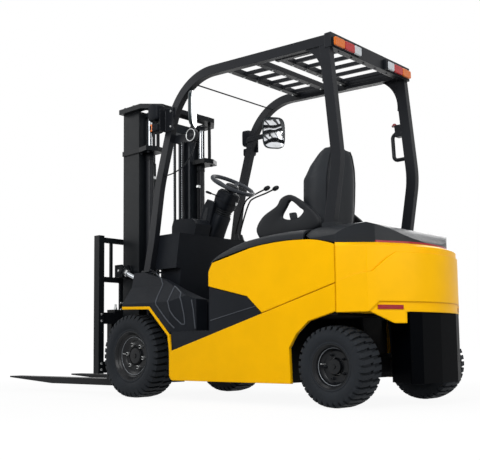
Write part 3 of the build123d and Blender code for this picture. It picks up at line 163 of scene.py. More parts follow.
class Shader:
    """One material's node tree, built round a Principled BSDF."""

    def __init__(self, name: str) -> None:
        """Makes the material with its shader and its Object coordinates."""
        self.material = bpy.data.materials.new(name)
        self.material.use_nodes = True
        self.tree = self.material.node_tree
        self.surface = self.tree.nodes["Principled BSDF"]
        self.coordinates = self.tree.nodes.new("ShaderNodeTexCoord").outputs["Object"]
        self.place = Link(self, self.coordinates)

    def node(
        self,
        kind: str,
        settings: dict[str, object] | None = None,
        inputs: dict[int | str, object] | None = None,
        output: int | str = 0,
    ) -> Link:
        """Adds a node.

        Args:
            kind: the node's type.
            settings: what is set on it first; "stops" is a ramp's places and colours.
            inputs: values or links of its sockets.
            output: the socket that the returned link comes from.

        Returns:
            The node's output.
        """
        made = self.tree.nodes.new(kind)
        for name, value in (settings or {}).items():
            if name == "stops":
                ramp = made.color_ramp.elements
                while len(ramp) < len(value):
                    ramp.new(0.5)
                for element, (position, colour) in zip(ramp, value):
                    element.position, element.color = position, colour
            else:
                setattr(made, name, value)
        for name, value in (inputs or {}).items():
            if isinstance(value, Link):
                self.tree.links.new(value.socket, made.inputs[name])
            else:
                made.inputs[name].default_value = value
        return Link(self, made.outputs[output])

    def noise(self, scale: float, detail: float = 3.0,
              stretch: tuple[float, float, float] = (1, 1, 1)) -> Link:
        """Fractal noise from 0 to 1, scale features per metre, stretched along the axes."""
        place = self.node("ShaderNodeVectorMath", {"operation": "MULTIPLY"}, {0: self.place, 1: stretch})
        return self.node("ShaderNodeTexNoise", None, {"Vector": place, "Scale": scale, "Detail": detail})

    def cells(self, scale: float, feature: str = "DISTANCE_TO_EDGE") -> Link:
        """Voronoi distance, scale cells per metre."""
        return self.node("ShaderNodeTexVoronoi", {"feature": feature}, {"Vector": self.place, "Scale": scale})

    def axis(self, index: int) -> Link:
        """One coordinate of the place, in metres."""
        return self.node("ShaderNodeSeparateXYZ", None, {0: self.place}, index)

    def mix(self, factor: Link, first: object, second: object) -> Link:
        """Colour that runs from first to second with the factor."""
        return self.node("ShaderNodeMix", {"data_type": "RGBA"}, {0: factor, 6: first, 7: second}, 2)

    def upward(self) -> Link:
        """How far the surface faces up, from -1 to 1."""
        facing = self.node("ShaderNodeNewGeometry", None, None, "Normal")
        return self.node("ShaderNodeSeparateXYZ", None, {0: facing}, 2)

    def rounded(self, radius: float) -> Link:
        """The normal, rounded over edges by the radius."""
        return self.node("ShaderNodeBevel", {"samples": 4}, {"Radius": radius})

    def edge_mask(self, soft: Link) -> Link:
        """1 on sharp edges and 0 on flats: how far the rounded normal leaves the true one."""
        true = self.node("ShaderNodeNewGeometry", None, None, "True Normal")
        turned = self.node("ShaderNodeVectorMath", {"operation": "DOT_PRODUCT"}, {0: soft, 1: true}, "Value")
        return (1.0 - turned).step(0.02, 0.25)

    def bump(self, height: Link, distance: float, normal: Link | None = None) -> Link:
        """Normal of a relief: height from 0 to 1 stands for distance in metres."""
        inputs = {"Height": height, "Distance": distance, "Strength": 1.0}
        if normal is not None:
            inputs["Normal"] = normal
        return self.node("ShaderNodeBump", None, inputs)

    def set(self, **values: object) -> None:
        """Sets the shader's sockets; an underscore in a name stands for a space."""
        for name, value in values.items():
            socket = self.surface.inputs[name.replace("_", " ")]
            if isinstance(value, Link):
                self.tree.links.new(value.socket, socket)
            else:
                socket.default_value = value


# Finishes


@dataclass(frozen=True)
class Finish:
    """A plain painted or moulded surface with grain, tone and softened edges.

    Grain is a fine relief, mottle a slow change of tone, and dust a pale film where the surface faces up.
    """

    name: str
    colour: Colour
    roughness: float = 0.5
    metallic: float = 0.0
    coat: float = 0.0
    specular: float = 0.2
    edge: float = 0.002
    # Colour for sharp edges, in patches: part wear, part a painted edge highlight.
    wear_and_highlight_colour: Colour | None = None
    grain_scale: float = 900.0
    grain_depth: float = 0.0001
    mottle: float = 0.10
    dust: float = 0.0
    dust_colour: Colour = (150, 146, 138)

    def tone(self, shader: Shader, soft: Link) -> Link:
        """Base colour: the paint, mottled, lighter in patches on its edges as wear and as a painted
        highlight, and dusted on top.

        Args:
            shader: the material's shader.
            soft: the normal, rounded over edges.

        Returns:
            The colour.
        """
        base = linear(*self.colour)
        darker = tuple(v * (1 - self.mottle) for v in base[:3]) + (1.0,)
        lighter = tuple(min(v * (1 + self.mottle), 1.0) for v in base[:3]) + (1.0,)
        colour = shader.mix(shader.noise(5.0, 5.0).step(0.3, 0.7), darker, lighter)
        if self.wear_and_highlight_colour is not None:
            # Sharp edges go lighter in patches: part wear, part a painted highlight.
            wear_and_highlight = shader.edge_mask(soft) * shader.noise(60.0, 4.0).step(0.45, 0.7)
            colour = shader.mix(wear_and_highlight, colour, linear(*self.wear_and_highlight_colour))
        film = shader.upward().step(0.3, 1.0) * shader.noise(14.0, 6.0).step(0.35, 0.75) * self.dust
        return shader.mix(film, colour, linear(*self.dust_colour))

    def relief(self, shader: Shader, soft: Link) -> Link:
        """Normal: fine grain over the softened edges."""
        return shader.bump(shader.noise(self.grain_scale, 2.0), self.grain_depth, soft)

    def make(self) -> bpy.types.Material:
        """Builds the material.

        Returns:
            The material.
        """
        shader = Shader(self.name)
        soft = shader.rounded(self.edge)
        shader.set(
            Base_Color=self.tone(shader, soft),
            Roughness=(shader.noise(22.0, 5.0) - 0.5) * 0.16 + self.roughness,
            Metallic=self.metallic,
            Coat_Weight=self.coat,
            Coat_Roughness=0.12,
            Specular_IOR_Level=self.specular,
            Normal=self.relief(shader, soft),
        )
        return shader.material


@dataclass(frozen=True)
class Moulding(Finish):
    """Moulded plastic with the pebbled grain of a vehicle's trim: rounded cells parted by fine valleys."""

    def relief(self, shader: Shader, soft: Link) -> Link:
        """Normal: pebbles of two sizes."""
        pebbles = shader.cells(520.0).step(0.0, 0.35) * 0.7 + shader.cells(1300.0).step(0.0, 0.3) * 0.3
        return shader.bump(pebbles, self.grain_depth, soft)


@dataclass(frozen=True)
class RolledSteel(Finish):
    """Bare or greased steel, with streaks along its length."""

    stretch: tuple[float, float, float] = (1.0, 1.0, 0.04)

    def relief(self, shader: Shader, soft: Link) -> Link:
        """Normal: streaks drawn out along the piece."""
        return shader.bump(shader.noise(420.0, 3.0, self.stretch), self.grain_depth, soft)


@dataclass(frozen=True)
class Tread(Finish):
    """Tyre rubber, with a pale film of dust where it faces up."""

    def relief(self, shader: Shader, soft: Link) -> Link:
        """Normal: fine pitting at two scales."""
        height = shader.noise(260.0, 5.0) * 0.6 + shader.noise(1200.0, 2.0) * 0.4
        return shader.bump(height, self.grain_depth, soft)


@dataclass(frozen=True)
class Vinyl(Finish):
    """Seat vinyl: a leather grain of small irregular cells."""

    def relief(self, shader: Shader, soft: Link) -> Link:
        """Normal: creases between grain cells, with slow puckers under them."""
        height = shader.cells(700.0).step(0.0, 0.2) * 0.6 + shader.noise(45.0, 3.0) * 0.8
        return shader.bump(height, self.grain_depth, soft)


@dataclass(frozen=True)
class Checker(Finish):
    """Rubber mat with raised bars that lie crosswise in turn."""

    pitch: float = 0.022

    def relief(self, shader: Shader, soft: Link) -> Link:
        """Normal: bars made from two triangle waves, one per direction, in turn over a checkerboard."""
        ahead, across = shader.axis(0), shader.axis(1)
        turn = shader.node("ShaderNodeTexChecker", None, {"Vector": shader.place, "Scale": 1 / self.pitch}, 1)
        bars = turn * ahead.wave(2 / self.pitch) + (1 - turn) * across.wave(2 / self.pitch)
        return shader.bump(bars.step(0.35, 0.65), self.grain_depth, soft)


@dataclass(frozen=True)
class Lens:
    """Coloured lamp lens: clear moulded plastic with fine upright flutes."""

    name: str
    colour: Colour
    glow: float = 0.0

    def make(self) -> bpy.types.Material:
        """Builds the material.

        Returns:
            The material.
        """
        shader = Shader(self.name)
        flutes = shader.axis(1).wave(160.0) * 0.6 + shader.axis(2).wave(160.0) * 0.4
        tone = shader.mix(flutes, linear(*self.colour), linear(*(v * 0.7 for v in self.colour)))
        shader.set(
            Base_Color=tone,
            Roughness=0.22,
            Coat_Weight=0.15,
            Coat_Roughness=0.05,
            Specular_IOR_Level=0.2,
            Emission_Color=tone,
            Emission_Strength=self.glow,
            Normal=shader.bump(flutes, 0.0008, shader.rounded(0.002)),
        )
        return shader.material


@dataclass(frozen=True)
class Mirror:
    """Silvered mirror glass with a faint film of dust."""

    name: str

    def make(self) -> bpy.types.Material:
        """Builds the material.

        Returns:
            The material.
        """
        shader = Shader(self.name)
        film = shader.noise(30.0, 5.0).step(0.4, 0.8)
        shader.set(
            Base_Color=shader.mix(film, linear(225, 228, 232), linear(205, 207, 208)),
            Metallic=1.0,
            Roughness=film * 0.05 + 0.03,
        )
        return shader.material


FINISHES = {
    finish.name: finish
    for finish in (
        Finish("yellow_paint", (250, 186, 0), 0.36, coat=0.00, specular=0.07, edge=0.010, grain_scale=240.0,
               grain_depth=0.00005, mottle=0.03),
        Moulding("black_moulding", (20, 23, 28), 0.5, specular=0.09, edge=0.004, grain_depth=0.0002,
                 dust=0.01),
        Moulding("hood_moulding", (27, 30, 34), 0.40, specular=0.15, edge=0.006, grain_depth=0.00012,
                 dust=0.01),
        # The lighter edge colours below are part wear, part a painted edge highlight.
        Finish("black_gloss", (24, 26, 30), 0.36, coat=0.01, specular=0.15, edge=0.005,
               wear_and_highlight_colour=(70, 72, 76), grain_scale=300.0, grain_depth=0.00008),
        Finish("mast_paint", (17, 20, 23), 0.38, specular=0.11, edge=0.005, wear_and_highlight_colour=(62, 64, 68),
               grain_scale=260.0, grain_depth=0.0001),
        Finish("skirt_black", (3, 4, 6), 0.34, specular=0.01, edge=0.006, grain_scale=300.0,
               grain_depth=0.00006),
        Finish("frame_black", (12, 13, 15), 0.6, specular=0.08, edge=0.003, grain_scale=220.0,
               grain_depth=0.0002, dust=0.02),
        Finish("fork_black", (16, 18, 21), 0.42, specular=0.12, edge=0.004, wear_and_highlight_colour=(110, 111, 114),
               grain_scale=90.0, grain_depth=0.0003, mottle=0.2, dust=0.02),
        RolledSteel("mast_rail", (34, 38, 43), 0.40, metallic=0.2, specular=0.19, edge=0.003,
                    wear_and_highlight_colour=(95, 97, 100), grain_depth=0.0002),
        RolledSteel("plated_rod", (170, 174, 178), 0.16, metallic=1.0, edge=0.001, grain_depth=0.00002,
                    mottle=0.04),
        RolledSteel("chain_steel", (70, 72, 74), 0.38, metallic=0.85, edge=0.001, grain_depth=0.00005,
                    mottle=0.3),
        Finish("nut_zinc", (196, 198, 198), 0.30, metallic=0.9, edge=0.001, grain_scale=600.0, mottle=0.1),
        Finish("bolt_black", (40, 42, 46), 0.38, metallic=0.4, edge=0.001, grain_scale=600.0, mottle=0.1),
        Tread("tyre_rubber", (33, 36, 40), 0.72, specular=0.13, edge=0.002, grain_depth=0.0004, mottle=0.16,
              dust=0.02),
        Finish("rim_black", (17, 19, 22), 0.33, coat=0.06, specular=0.17, edge=0.002, grain_scale=300.0),
        Finish("rim_edge", (112, 115, 119), 0.32, metallic=0.4, specular=0.21, edge=0.001, grain_scale=500.0,
               mottle=0.2),
        Vinyl("seat_vinyl", (31, 34, 38), 0.42, specular=0.17, edge=0.004, grain_depth=0.0003, mottle=0.10),
        Moulding("grip_rubber", (25, 27, 30), 0.5, specular=0.15, edge=0.002, grain_depth=0.00015),
        Moulding("wheel_rubber", (52, 55, 60), 0.42, specular=0.17, edge=0.002, grain_depth=0.0001),
        Finish("mirror_case", (20, 34, 38), 0.22, coat=0.15, specular=0.21, edge=0.003, grain_scale=300.0,
               grain_depth=0.00003),
        # Lighter grey than the black mouldings: a painted highlight along the fender ribs and insert creases.
        Moulding("rib_highlight_moulding", (66, 70, 76), 0.42, specular=0.17, edge=0.002, grain_depth=0.0001,
                 dust=0.02),
        Checker("floor_mat", (28, 30, 33), 0.7, edge=0.002, grain_depth=0.002, dust=0.05),
        Finish("battery_grey", (46, 48, 52), 0.5, edge=0.003, dust=0.05),
        Lens("lens_red", (190, 26, 28), 0.1),
        Lens("lens_amber", (232, 116, 22), 0.1),
        Lens("lens_clear", (214, 218, 222), 0.1),
        Lens("reflector_red", (168, 0, 20), 0.0),
        Mirror("mirror_glass"),
    )
}
NODE_FINISHES = {
    "yellow_paint": ("side_panels", "side_covers", "counterweight"),
    "black_moulding": ("step_wells", "front_fenders", "dash", "steering_column", "headlamps", "mirrors"),
    "frame_black": ("underframe", "drive_axle", "steer_axle", "knuckle_left", "knuckle_right"),
    "battery_grey": ("battery",),
    "floor_mat": ("floor_plate", "pedals"),
    "skirt_black": ("counterweight_skirt",),
    "hood_moulding": ("tail_cover", "hood_lid"),
    "reflector_red": ("red_strips",),
    "black_gloss": ("guard_frame", "guard_grille", "grab_handle", "lift_cylinders", "tilt_barrels"),
    "grip_rubber": ("steering_wheel", "levers", "hip_restraints"),
    "seat_vinyl": ("seat_cushion", "seat_back"),
    "lens_red": ("tail_lamps",),
    "mast_paint": ("outer_mast", "load_backrest"),
    "plated_rod": ("lift_rods", "tilt_rods"),
    "mast_rail": ("inner_mast",),
    "chain_steel": ("lift_chains",),
    "fork_black": ("carriage", "forks"),
}


class Paintshop:
    """Makes each finish's material once and hands it out."""

    def __init__(self) -> None:
        """Starts with no material made."""
        self.made: dict[str, bpy.types.Material] = {}

    def __getitem__(self, name: str) -> bpy.types.Material:
        """The material of that name, made at its first use."""
        if name not in self.made:
            self.made[name] = FINISHES[name].make()
        return self.made[name]


PAINT = Paintshop()


# Surfaces


@dataclass
class Shape:
    """A surface as arrays: points (n, 3), and an array of faces for each number of corners."""

    points: np.ndarray
    faces: list[np.ndarray] = field(default_factory=list)

    def __add__(self, other: "Shape") -> "Shape":
        """Both surfaces in one, the second's faces counted on from the first's points."""
        shifted = [faces + len(self.points) for faces in other.faces]
        return Shape(np.vstack([self.points, other.points]), self.faces + shifted)

    def moved(self, x: float = 0.0, y: float = 0.0, z: float = 0.0) -> "Shape":
        """The same surface, moved."""
        return Shape(self.points + np.array([x, y, z]), self.faces)

    def mirrored(self) -> "Shape":
        """The surface on the truck's other side, its faces turned to keep them outwards."""
        return Shape(self.points * np.array([1, -1, 1]), [faces[:, ::-1] for faces in self.faces])

    def both_sides(self) -> "Shape":
        """The surface and its mirror image."""
        return self + self.mirrored()


def unit(vectors: np.ndarray) -> np.ndarray:
    """The vectors, each divided by its length."""
    return vectors / np.linalg.norm(vectors, axis=-1, keepdims=True)


def joined(shapes: Iterable[Shape]) -> Shape:
    """All the surfaces in one, in their order."""
    return reduce(add, shapes)


def bent(wave: np.ndarray, power: float) -> np.ndarray:
    """The wave with its size raised to the power and its sign kept."""
    return np.sign(wave) * np.abs(wave) ** power


def lattice(rows: int, columns: int, wrap_rows: bool = False, wrap_columns: bool = False) -> np.ndarray:
    """Quads between neighbours of a grid whose point (r, c) is number r * columns + c.

    Args:
        rows: points along the first parameter.
        columns: points along the second.
        wrap_rows: whether the last row joins the first.
        wrap_columns: whether the last column joins the first.

    Returns:
        Faces as (n, 4) point numbers.
    """
    row = np.arange(rows if wrap_rows else rows - 1)[:, None]
    column = np.arange(columns if wrap_columns else columns - 1)[None, :]
    row_on, column_on = (row + 1) % rows, (column + 1) % columns
    pairs = ((row, column), (row, column_on), (row_on, column_on), (row_on, column))
    corners = [first * columns + second for first, second in pairs]
    return np.stack([np.broadcast_to(c, (row.size, column.size)) for c in corners], -1).reshape(-1, 4)


def end_faces(rows: int, columns: int) -> list[np.ndarray]:
    """Caps over the first and the last row of a grid."""
    row = np.arange(columns)[None]
    return [row[:, ::-1], row + (rows - 1) * columns]


def framed(axis: tuple) -> tuple[np.ndarray, np.ndarray, np.ndarray]:
    """The axis at unit length, and two unit vectors square to it and to each other."""
    axis_unit = unit(np.array(axis, float))
    helper = np.array([0.0, 0.0, 1.0]) if abs(axis_unit[2]) < STEEP else np.array([1.0, 0.0, 0.0])
    first = unit(np.cross(axis_unit, helper))
    return axis_unit, first, np.cross(axis_unit, first)


def spun(first: np.ndarray, second: np.ndarray, steps: int) -> np.ndarray:
    """Unit vectors round a circle: cos a * first + sin a * second."""
    angle = np.arange(steps) * 2 * np.pi / steps
    return np.cos(angle)[:, None] * first + np.sin(angle)[:, None] * second


def turned(
    profile: np.ndarray | list,
    centre: tuple,
    axis: tuple,
    steps: int = 48,
    closed: bool = False,
) -> Shape:
    """A profile turned about an axis: point = centre + along * axis + radius * (cos a * u + sin a * v).

    Args:
        profile: (n, 2) of place along the axis and radius.
        centre: point on the axis where along is 0.
        axis: the axis.
        steps: points round the turn.
        closed: whether the profile's last point joins its first.

    Returns:
        The turned surface.
    """
    axis_unit, first, second = framed(axis)
    ring = spun(first, second, steps)
    profile = np.array(profile, float)
    points = np.array(centre) + profile[:, None, :1] * axis_unit + profile[:, None, 1:] * ring
    return Shape(points.reshape(-1, 3), [lattice(len(profile), steps, closed, True)])


def swept(path: np.ndarray, section: np.ndarray, up: tuple = LEFT) -> Shape:
    """A section carried along a path and capped: point = path + s * side + t * lift.

    side is the tangent crossed with up, and lift is side crossed with the tangent.

    Args:
        path: (n, 3) points.
        section: (m, 2) closed outline.
        up: a direction that the path never runs along.

    Returns:
        The swept surface.
    """
    tangent = unit(np.gradient(path, axis=0))
    side = unit(np.cross(tangent, np.array(up, float)))
    lift = np.cross(side, tangent)
    points = path[:, None] + section[None, :, :1] * side[:, None] + section[None, :, 1:] * lift[:, None]
    return skin(points)


def oval(width: float, height: float | None = None, steps: int = 12) -> np.ndarray:
    """Ellipse outline of those half sizes."""
    angle = np.arange(steps) * 2 * np.pi / steps
    return np.stack([np.cos(angle) * width, np.sin(angle) * (height or width)], -1)


def soft_box(width: float, height: float, power: float = 5.0, steps: int = 24) -> np.ndarray:
    """Superellipse outline: |x / width| ** power + |y / height| ** power = 1.

    Args:
        width: half its width.
        height: half its height.
        power: how square it is; 2 is an ellipse.
        steps: points round it.

    Returns:
        The outline's points.
    """
    angle = np.arange(steps) * 2 * np.pi / steps
    cos, sin = np.cos(angle), np.sin(angle)
    radius = (np.abs(cos) ** power + np.abs(sin) ** power) ** (-1 / power)
    return np.stack([cos * radius * width, sin * radius * height], -1)


def cubic(before: np.ndarray, start: np.ndarray, end: np.ndarray, after: np.ndarray,
          steps: int) -> np.ndarray:
    """Catmull-Rom spans: each is the cubic with slopes half the neighbours' difference.

    Args:
        before: the point before each span.
        start: the span's first point.
        end: its last point.
        after: the point after it.
        steps: points on each span.

    Returns:
        The spans' points in one row.
    """
    a, b, c, d = (corner[:, None] for corner in (before, start, end, after))
    t = (np.arange(steps) / steps)[None, :, None]
    curve = 0.5 * (2 * b + (c - a) * t + (2 * a - 5 * b + 4 * c - d) * t**2 + (3 * b - a - 3 * c + d) * t**3)
    return curve.reshape(-1, start.shape[1])


def smooth_path(corners: np.ndarray, steps: int = 8) -> np.ndarray:
    """Open Catmull-Rom curve through the corners; its ends run straight on."""
    padded = np.vstack([2 * corners[0] - corners[1], corners, 2 * corners[-1] - corners[-2]])
    spans = (padded[i : len(padded) - 3 + i] for i in range(4))
    return np.vstack([cubic(*spans, steps), corners[-1:]])


def closed_curve(corners: np.ndarray, steps: int = 6) -> np.ndarray:
    """Catmull-Rom loop through the corners."""
    before, end, after = (np.roll(corners, shift, 0) for shift in (1, -1, -2))
    return cubic(before, corners, end, after, steps)


def prisms(
    centres: np.ndarray | list,
    axis: tuple,
    across: float,
    height: float,
    sides: int = 6,
) -> Shape:
    """Bolt heads: prisms with a chamfered top, all along one axis.

    Each has rings at heights 0, 0.75 h and h, the last drawn in to 0.82 of the radius.

    Args:
        centres: the middles of their feet.
        axis: the way they stand.
        across: their width over corners.
        height: how tall they are.
        sides: how many sides each has.

    Returns:
        The heads in one surface.
    """
    axis_unit, first, second = framed(axis)
    ring = spun(first, second, sides)
    levels = np.array([0.0, 0.75, 1.0]) * height
    radii = np.array([1.0, 1.0, 0.82]) * across / 2
    one = (levels[:, None, None] * axis_unit + radii[:, None, None] * ring).reshape(-1, 3)
    centres = np.atleast_2d(np.array(centres, float))
    points = (centres[:, None] + one[None]).reshape(-1, 3)
    start = (np.arange(len(centres)) * len(one))[:, None, None]
    walls = (lattice(3, sides, False, True)[None] + start).reshape(-1, 4)
    top = np.arange(sides)[None] + 2 * sides + start[:, 0]
    base = np.arange(sides)[None, ::-1] + start[:, 0]
    return Shape(points, [walls, top, base])


def blocks(lows: np.ndarray | list, highs: np.ndarray | list) -> Shape:
    """Boxes between pairs of opposite corners.

    Args:
        lows: the lowest corner of each.
        highs: the highest corner of each.

    Returns:
        The boxes in one surface.
    """
    lows, highs = np.atleast_2d(np.array(lows, float)), np.atleast_2d(np.array(highs, float))
    pick = np.array([[0, 0, 0], [1, 0, 0], [1, 1, 0], [0, 1, 0], [0, 0, 1], [1, 0, 1], [1, 1, 1], [0, 1, 1]])
    points = np.where(pick[None], highs[:, None], lows[:, None]).reshape(-1, 3)
    sides = np.array([[3, 2, 1, 0], [4, 5, 6, 7], [0, 1, 5, 4], [1, 2, 6, 5], [2, 3, 7, 6], [3, 0, 4, 7]])
    return Shape(points, [(sides[None] + 8 * np.arange(len(lows))[:, None, None]).reshape(-1, 4)])


def fore(x: float) -> float:
    """X in the truck's frame of a place given from the front axle."""
    return AXLE_X + x


def side_view(corners: list[tuple[float, float]]) -> np.ndarray:
    """Corners seen from the side, x given from the front axle, as (x, z) in the truck's frame."""
    return np.array(corners) + np.array([AXLE_X, 0.0])


def skin(rings: np.ndarray) -> Shape:
    """Closed body through a stack of rings (rows, columns, 3), its first and last ring capped."""
    rows, columns = rings.shape[:2]
    return Shape(rings.reshape(-1, 3), [lattice(rows, columns, False, True)] + end_faces(rows, columns))


def inset(outline: np.ndarray, amount: float) -> np.ndarray:
    """The outline drawn in: each point moves against the mean of its two edges' outward normals.

    Args:
        outline: (n, 2) closed outline.
        amount: how far it is drawn in.

    Returns:
        The smaller outline.
    """
    following = np.roll(outline, -1, 0)
    area = np.sum(outline[:, 0] * following[:, 1] - following[:, 0] * outline[:, 1])
    edge = unit(following - outline)
    normal = np.stack([edge[:, 1], -edge[:, 0]], -1) * np.sign(area)
    return outline - unit(normal + np.roll(normal, 1, 0)) * amount


class Way(Enum):
    """The axis that a slab's thickness runs along."""

    X = 0
    Y = 1
    Z = 2


def slab(outline: np.ndarray, low: float, high: float, soften: float, way: Way) -> Shape:
    """A plate with chamfered outer edges.

    Args:
        outline: its (n, 2) closed outline.
        low: where it starts along the axis.
        high: where it ends.
        soften: the chamfer.
        way: the axis.

    Returns:
        The plate.
    """
    levels = ((low, soften), (low + soften, 0.0), (high - soften, 0.0), (high, soften))
    rings = [np.insert(inset(outline, amount), way.value, place, axis=1) for place, amount in levels]
    return skin(np.stack(rings))


def posed(shape: Shape, origin: tuple, x_dir: tuple, z_dir: tuple) -> Shape:
    """A surface set up in a frame: x * x_dir + y * (z_dir cross x_dir) + z * z_dir.

    Args:
        shape: the surface, drawn about the origin.
        origin: where its origin goes.
        x_dir: where its X goes.
        z_dir: where its Z goes.

    Returns:
        The surface in its place.
    """
    x_unit, z_unit = unit(np.array(x_dir, float)), unit(np.array(z_dir, float))
    basis = np.stack([x_unit, np.cross(z_unit, x_unit), z_unit])
    return Shape(shape.points @ basis + np.array(origin), shape.faces)


def loaf(sections: list[tuple], power: float = 4.0, steps: int = 32) -> Shape:
    """A body along Z through soft boxes.

    Args:
        sections: each as (z, middle x, middle y, half x, half y).
        power: how square they are.
        steps: points round each.

    Returns:
        The body.
    """
    rings = [
        np.column_stack([soft_box(half_x, half_y, power, steps) + np.array([x, y]), np.full(steps, z)])
        for z, x, y, half_x, half_y in sections
    ]
    return skin(np.stack(rings))


def swollen(piece: bpy.types.Object, reach: float, voxel: float = 0.006, pressure: float = 4.0) -> None:
    """Remeshes a pad evenly, swells it as cloth under pressure and keeps the result on its mesh.

    Each point ends at start + shift * min(1, reach / |shift|), its shift less the pad's mean shift.

    Args:
        piece: the pad.
        reach: how far a point may move, in metres.
        voxel: the even mesh's spacing.
        pressure: the cloth's inner pressure.
    """
    scene = bpy.context.scene
    even = piece.modifiers.new("even", "REMESH")
    even.mode, even.voxel_size = "VOXEL", voxel
    keep_evaluated(piece)
    start = read_points(piece.data)
    cloth = piece.modifiers.new("cloth", "CLOTH")
    cloth.settings.use_pressure = True
    cloth.settings.uniform_pressure_force = pressure
    cloth.settings.effector_weights.gravity = 0.0
    cloth.settings.tension_stiffness = cloth.settings.compression_stiffness = CLOTH_STIFFNESS
    for step in range(1, CLOTH_FRAMES + 1):
        scene.frame_set(step)
    view = bpy.context.evaluated_depsgraph_get()
    shift = read_points(piece.evaluated_get(view).data) - start
    piece.modifiers.clear()
    scene.frame_set(1)
    shift -= shift.mean(0)
    length = np.linalg.norm(shift, axis=1, keepdims=True)
    moved = start + shift * np.minimum(1.0, reach / np.maximum(length, SMALLEST))
    piece.data.vertices.foreach_set("co", moved.astype(np.float32).ravel())
    piece.data.update()


def keep_evaluated(piece: bpy.types.Object) -> None:
    """Puts what a piece's modifiers make of its mesh in the mesh's place."""
    view = bpy.context.evaluated_depsgraph_get()
    mesh = bpy.data.meshes.new_from_object(piece.evaluated_get(view))
    piece.modifiers.clear()
    piece.data = mesh


def read_points(mesh: bpy.types.Mesh, what: str = "co") -> np.ndarray:
    """A mesh's points, or their normals, as (n, 3)."""
    flat = np.empty(len(mesh.vertices) * 3, np.float32)
    mesh.vertices.foreach_get(what, flat)
    return flat.reshape(-1, 3).astype(float)


def sewn(piece: bpy.types.Object, away: np.ndarray, width: float, depth: float) -> None:
    """Presses seams into a pad: each point goes in by depth * exp(-(away / width) ** 2).

    Args:
        piece: the pad.
        away: each point's distance from the nearest seam.
        width: half the seam's width.
        depth: how deep it is pressed.
    """
    mesh = piece.data
    points = read_points(mesh) - read_points(mesh,
                                             "normal") * (depth * np.exp(-((away / width) ** 2)))[:, None]
    mesh.vertices.foreach_set("co", points.astype(np.float32).ravel())
    mesh.update()


def build(
    name: str,
    shape: Shape,
    body: str,
    finish: str,
    replaces: tuple[str, ...] = (),
    bevel: float = 0.0,
    sharp: float = 35.0,
) -> bpy.types.Object:
    """Makes a piece of the surface, finishes it and lets it ride on its body.

    Args:
        name: the piece's name.
        shape: its surface, in the truck's frame.
        body: the body that it rides on.
        finish: the finish's name.
        replaces: CAD nodes that it stands for.
        bevel: width of a bevel on its edges.
        sharp: edges steeper than this many degrees stay sharp.

    Returns:
        The piece.
    """
    mesh = bpy.data.meshes.new(name)
    mesh.from_pydata(shape.points.tolist(), [], [face for faces in shape.faces for face in faces.tolist()])
    work = bmesh.new()
    work.from_mesh(mesh)
    bmesh.ops.remove_doubles(work, verts=work.verts, dist=1e-6)
    bmesh.ops.recalc_face_normals(work, faces=work.faces)
    work.to_mesh(mesh)
    work.free()
    mesh.shade_smooth()
    mesh.set_sharp_from_angle(angle=math.radians(sharp))
    piece = bpy.data.objects.new(name, mesh)
    bpy.context.scene.collection.objects.link(piece)
    mesh.materials.append(PAINT[finish])
    if bevel:
        modifier = piece.modifiers.new("bevel", "BEVEL")
        modifier.width, modifier.segments, modifier.limit_method = bevel, 2, "ANGLE"
    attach(piece, body)
    if replaces:
        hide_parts(*replaces)
    LOG.info("%s: %d points on %s", name, len(mesh.vertices), body)
    return piece


# The truck's parts


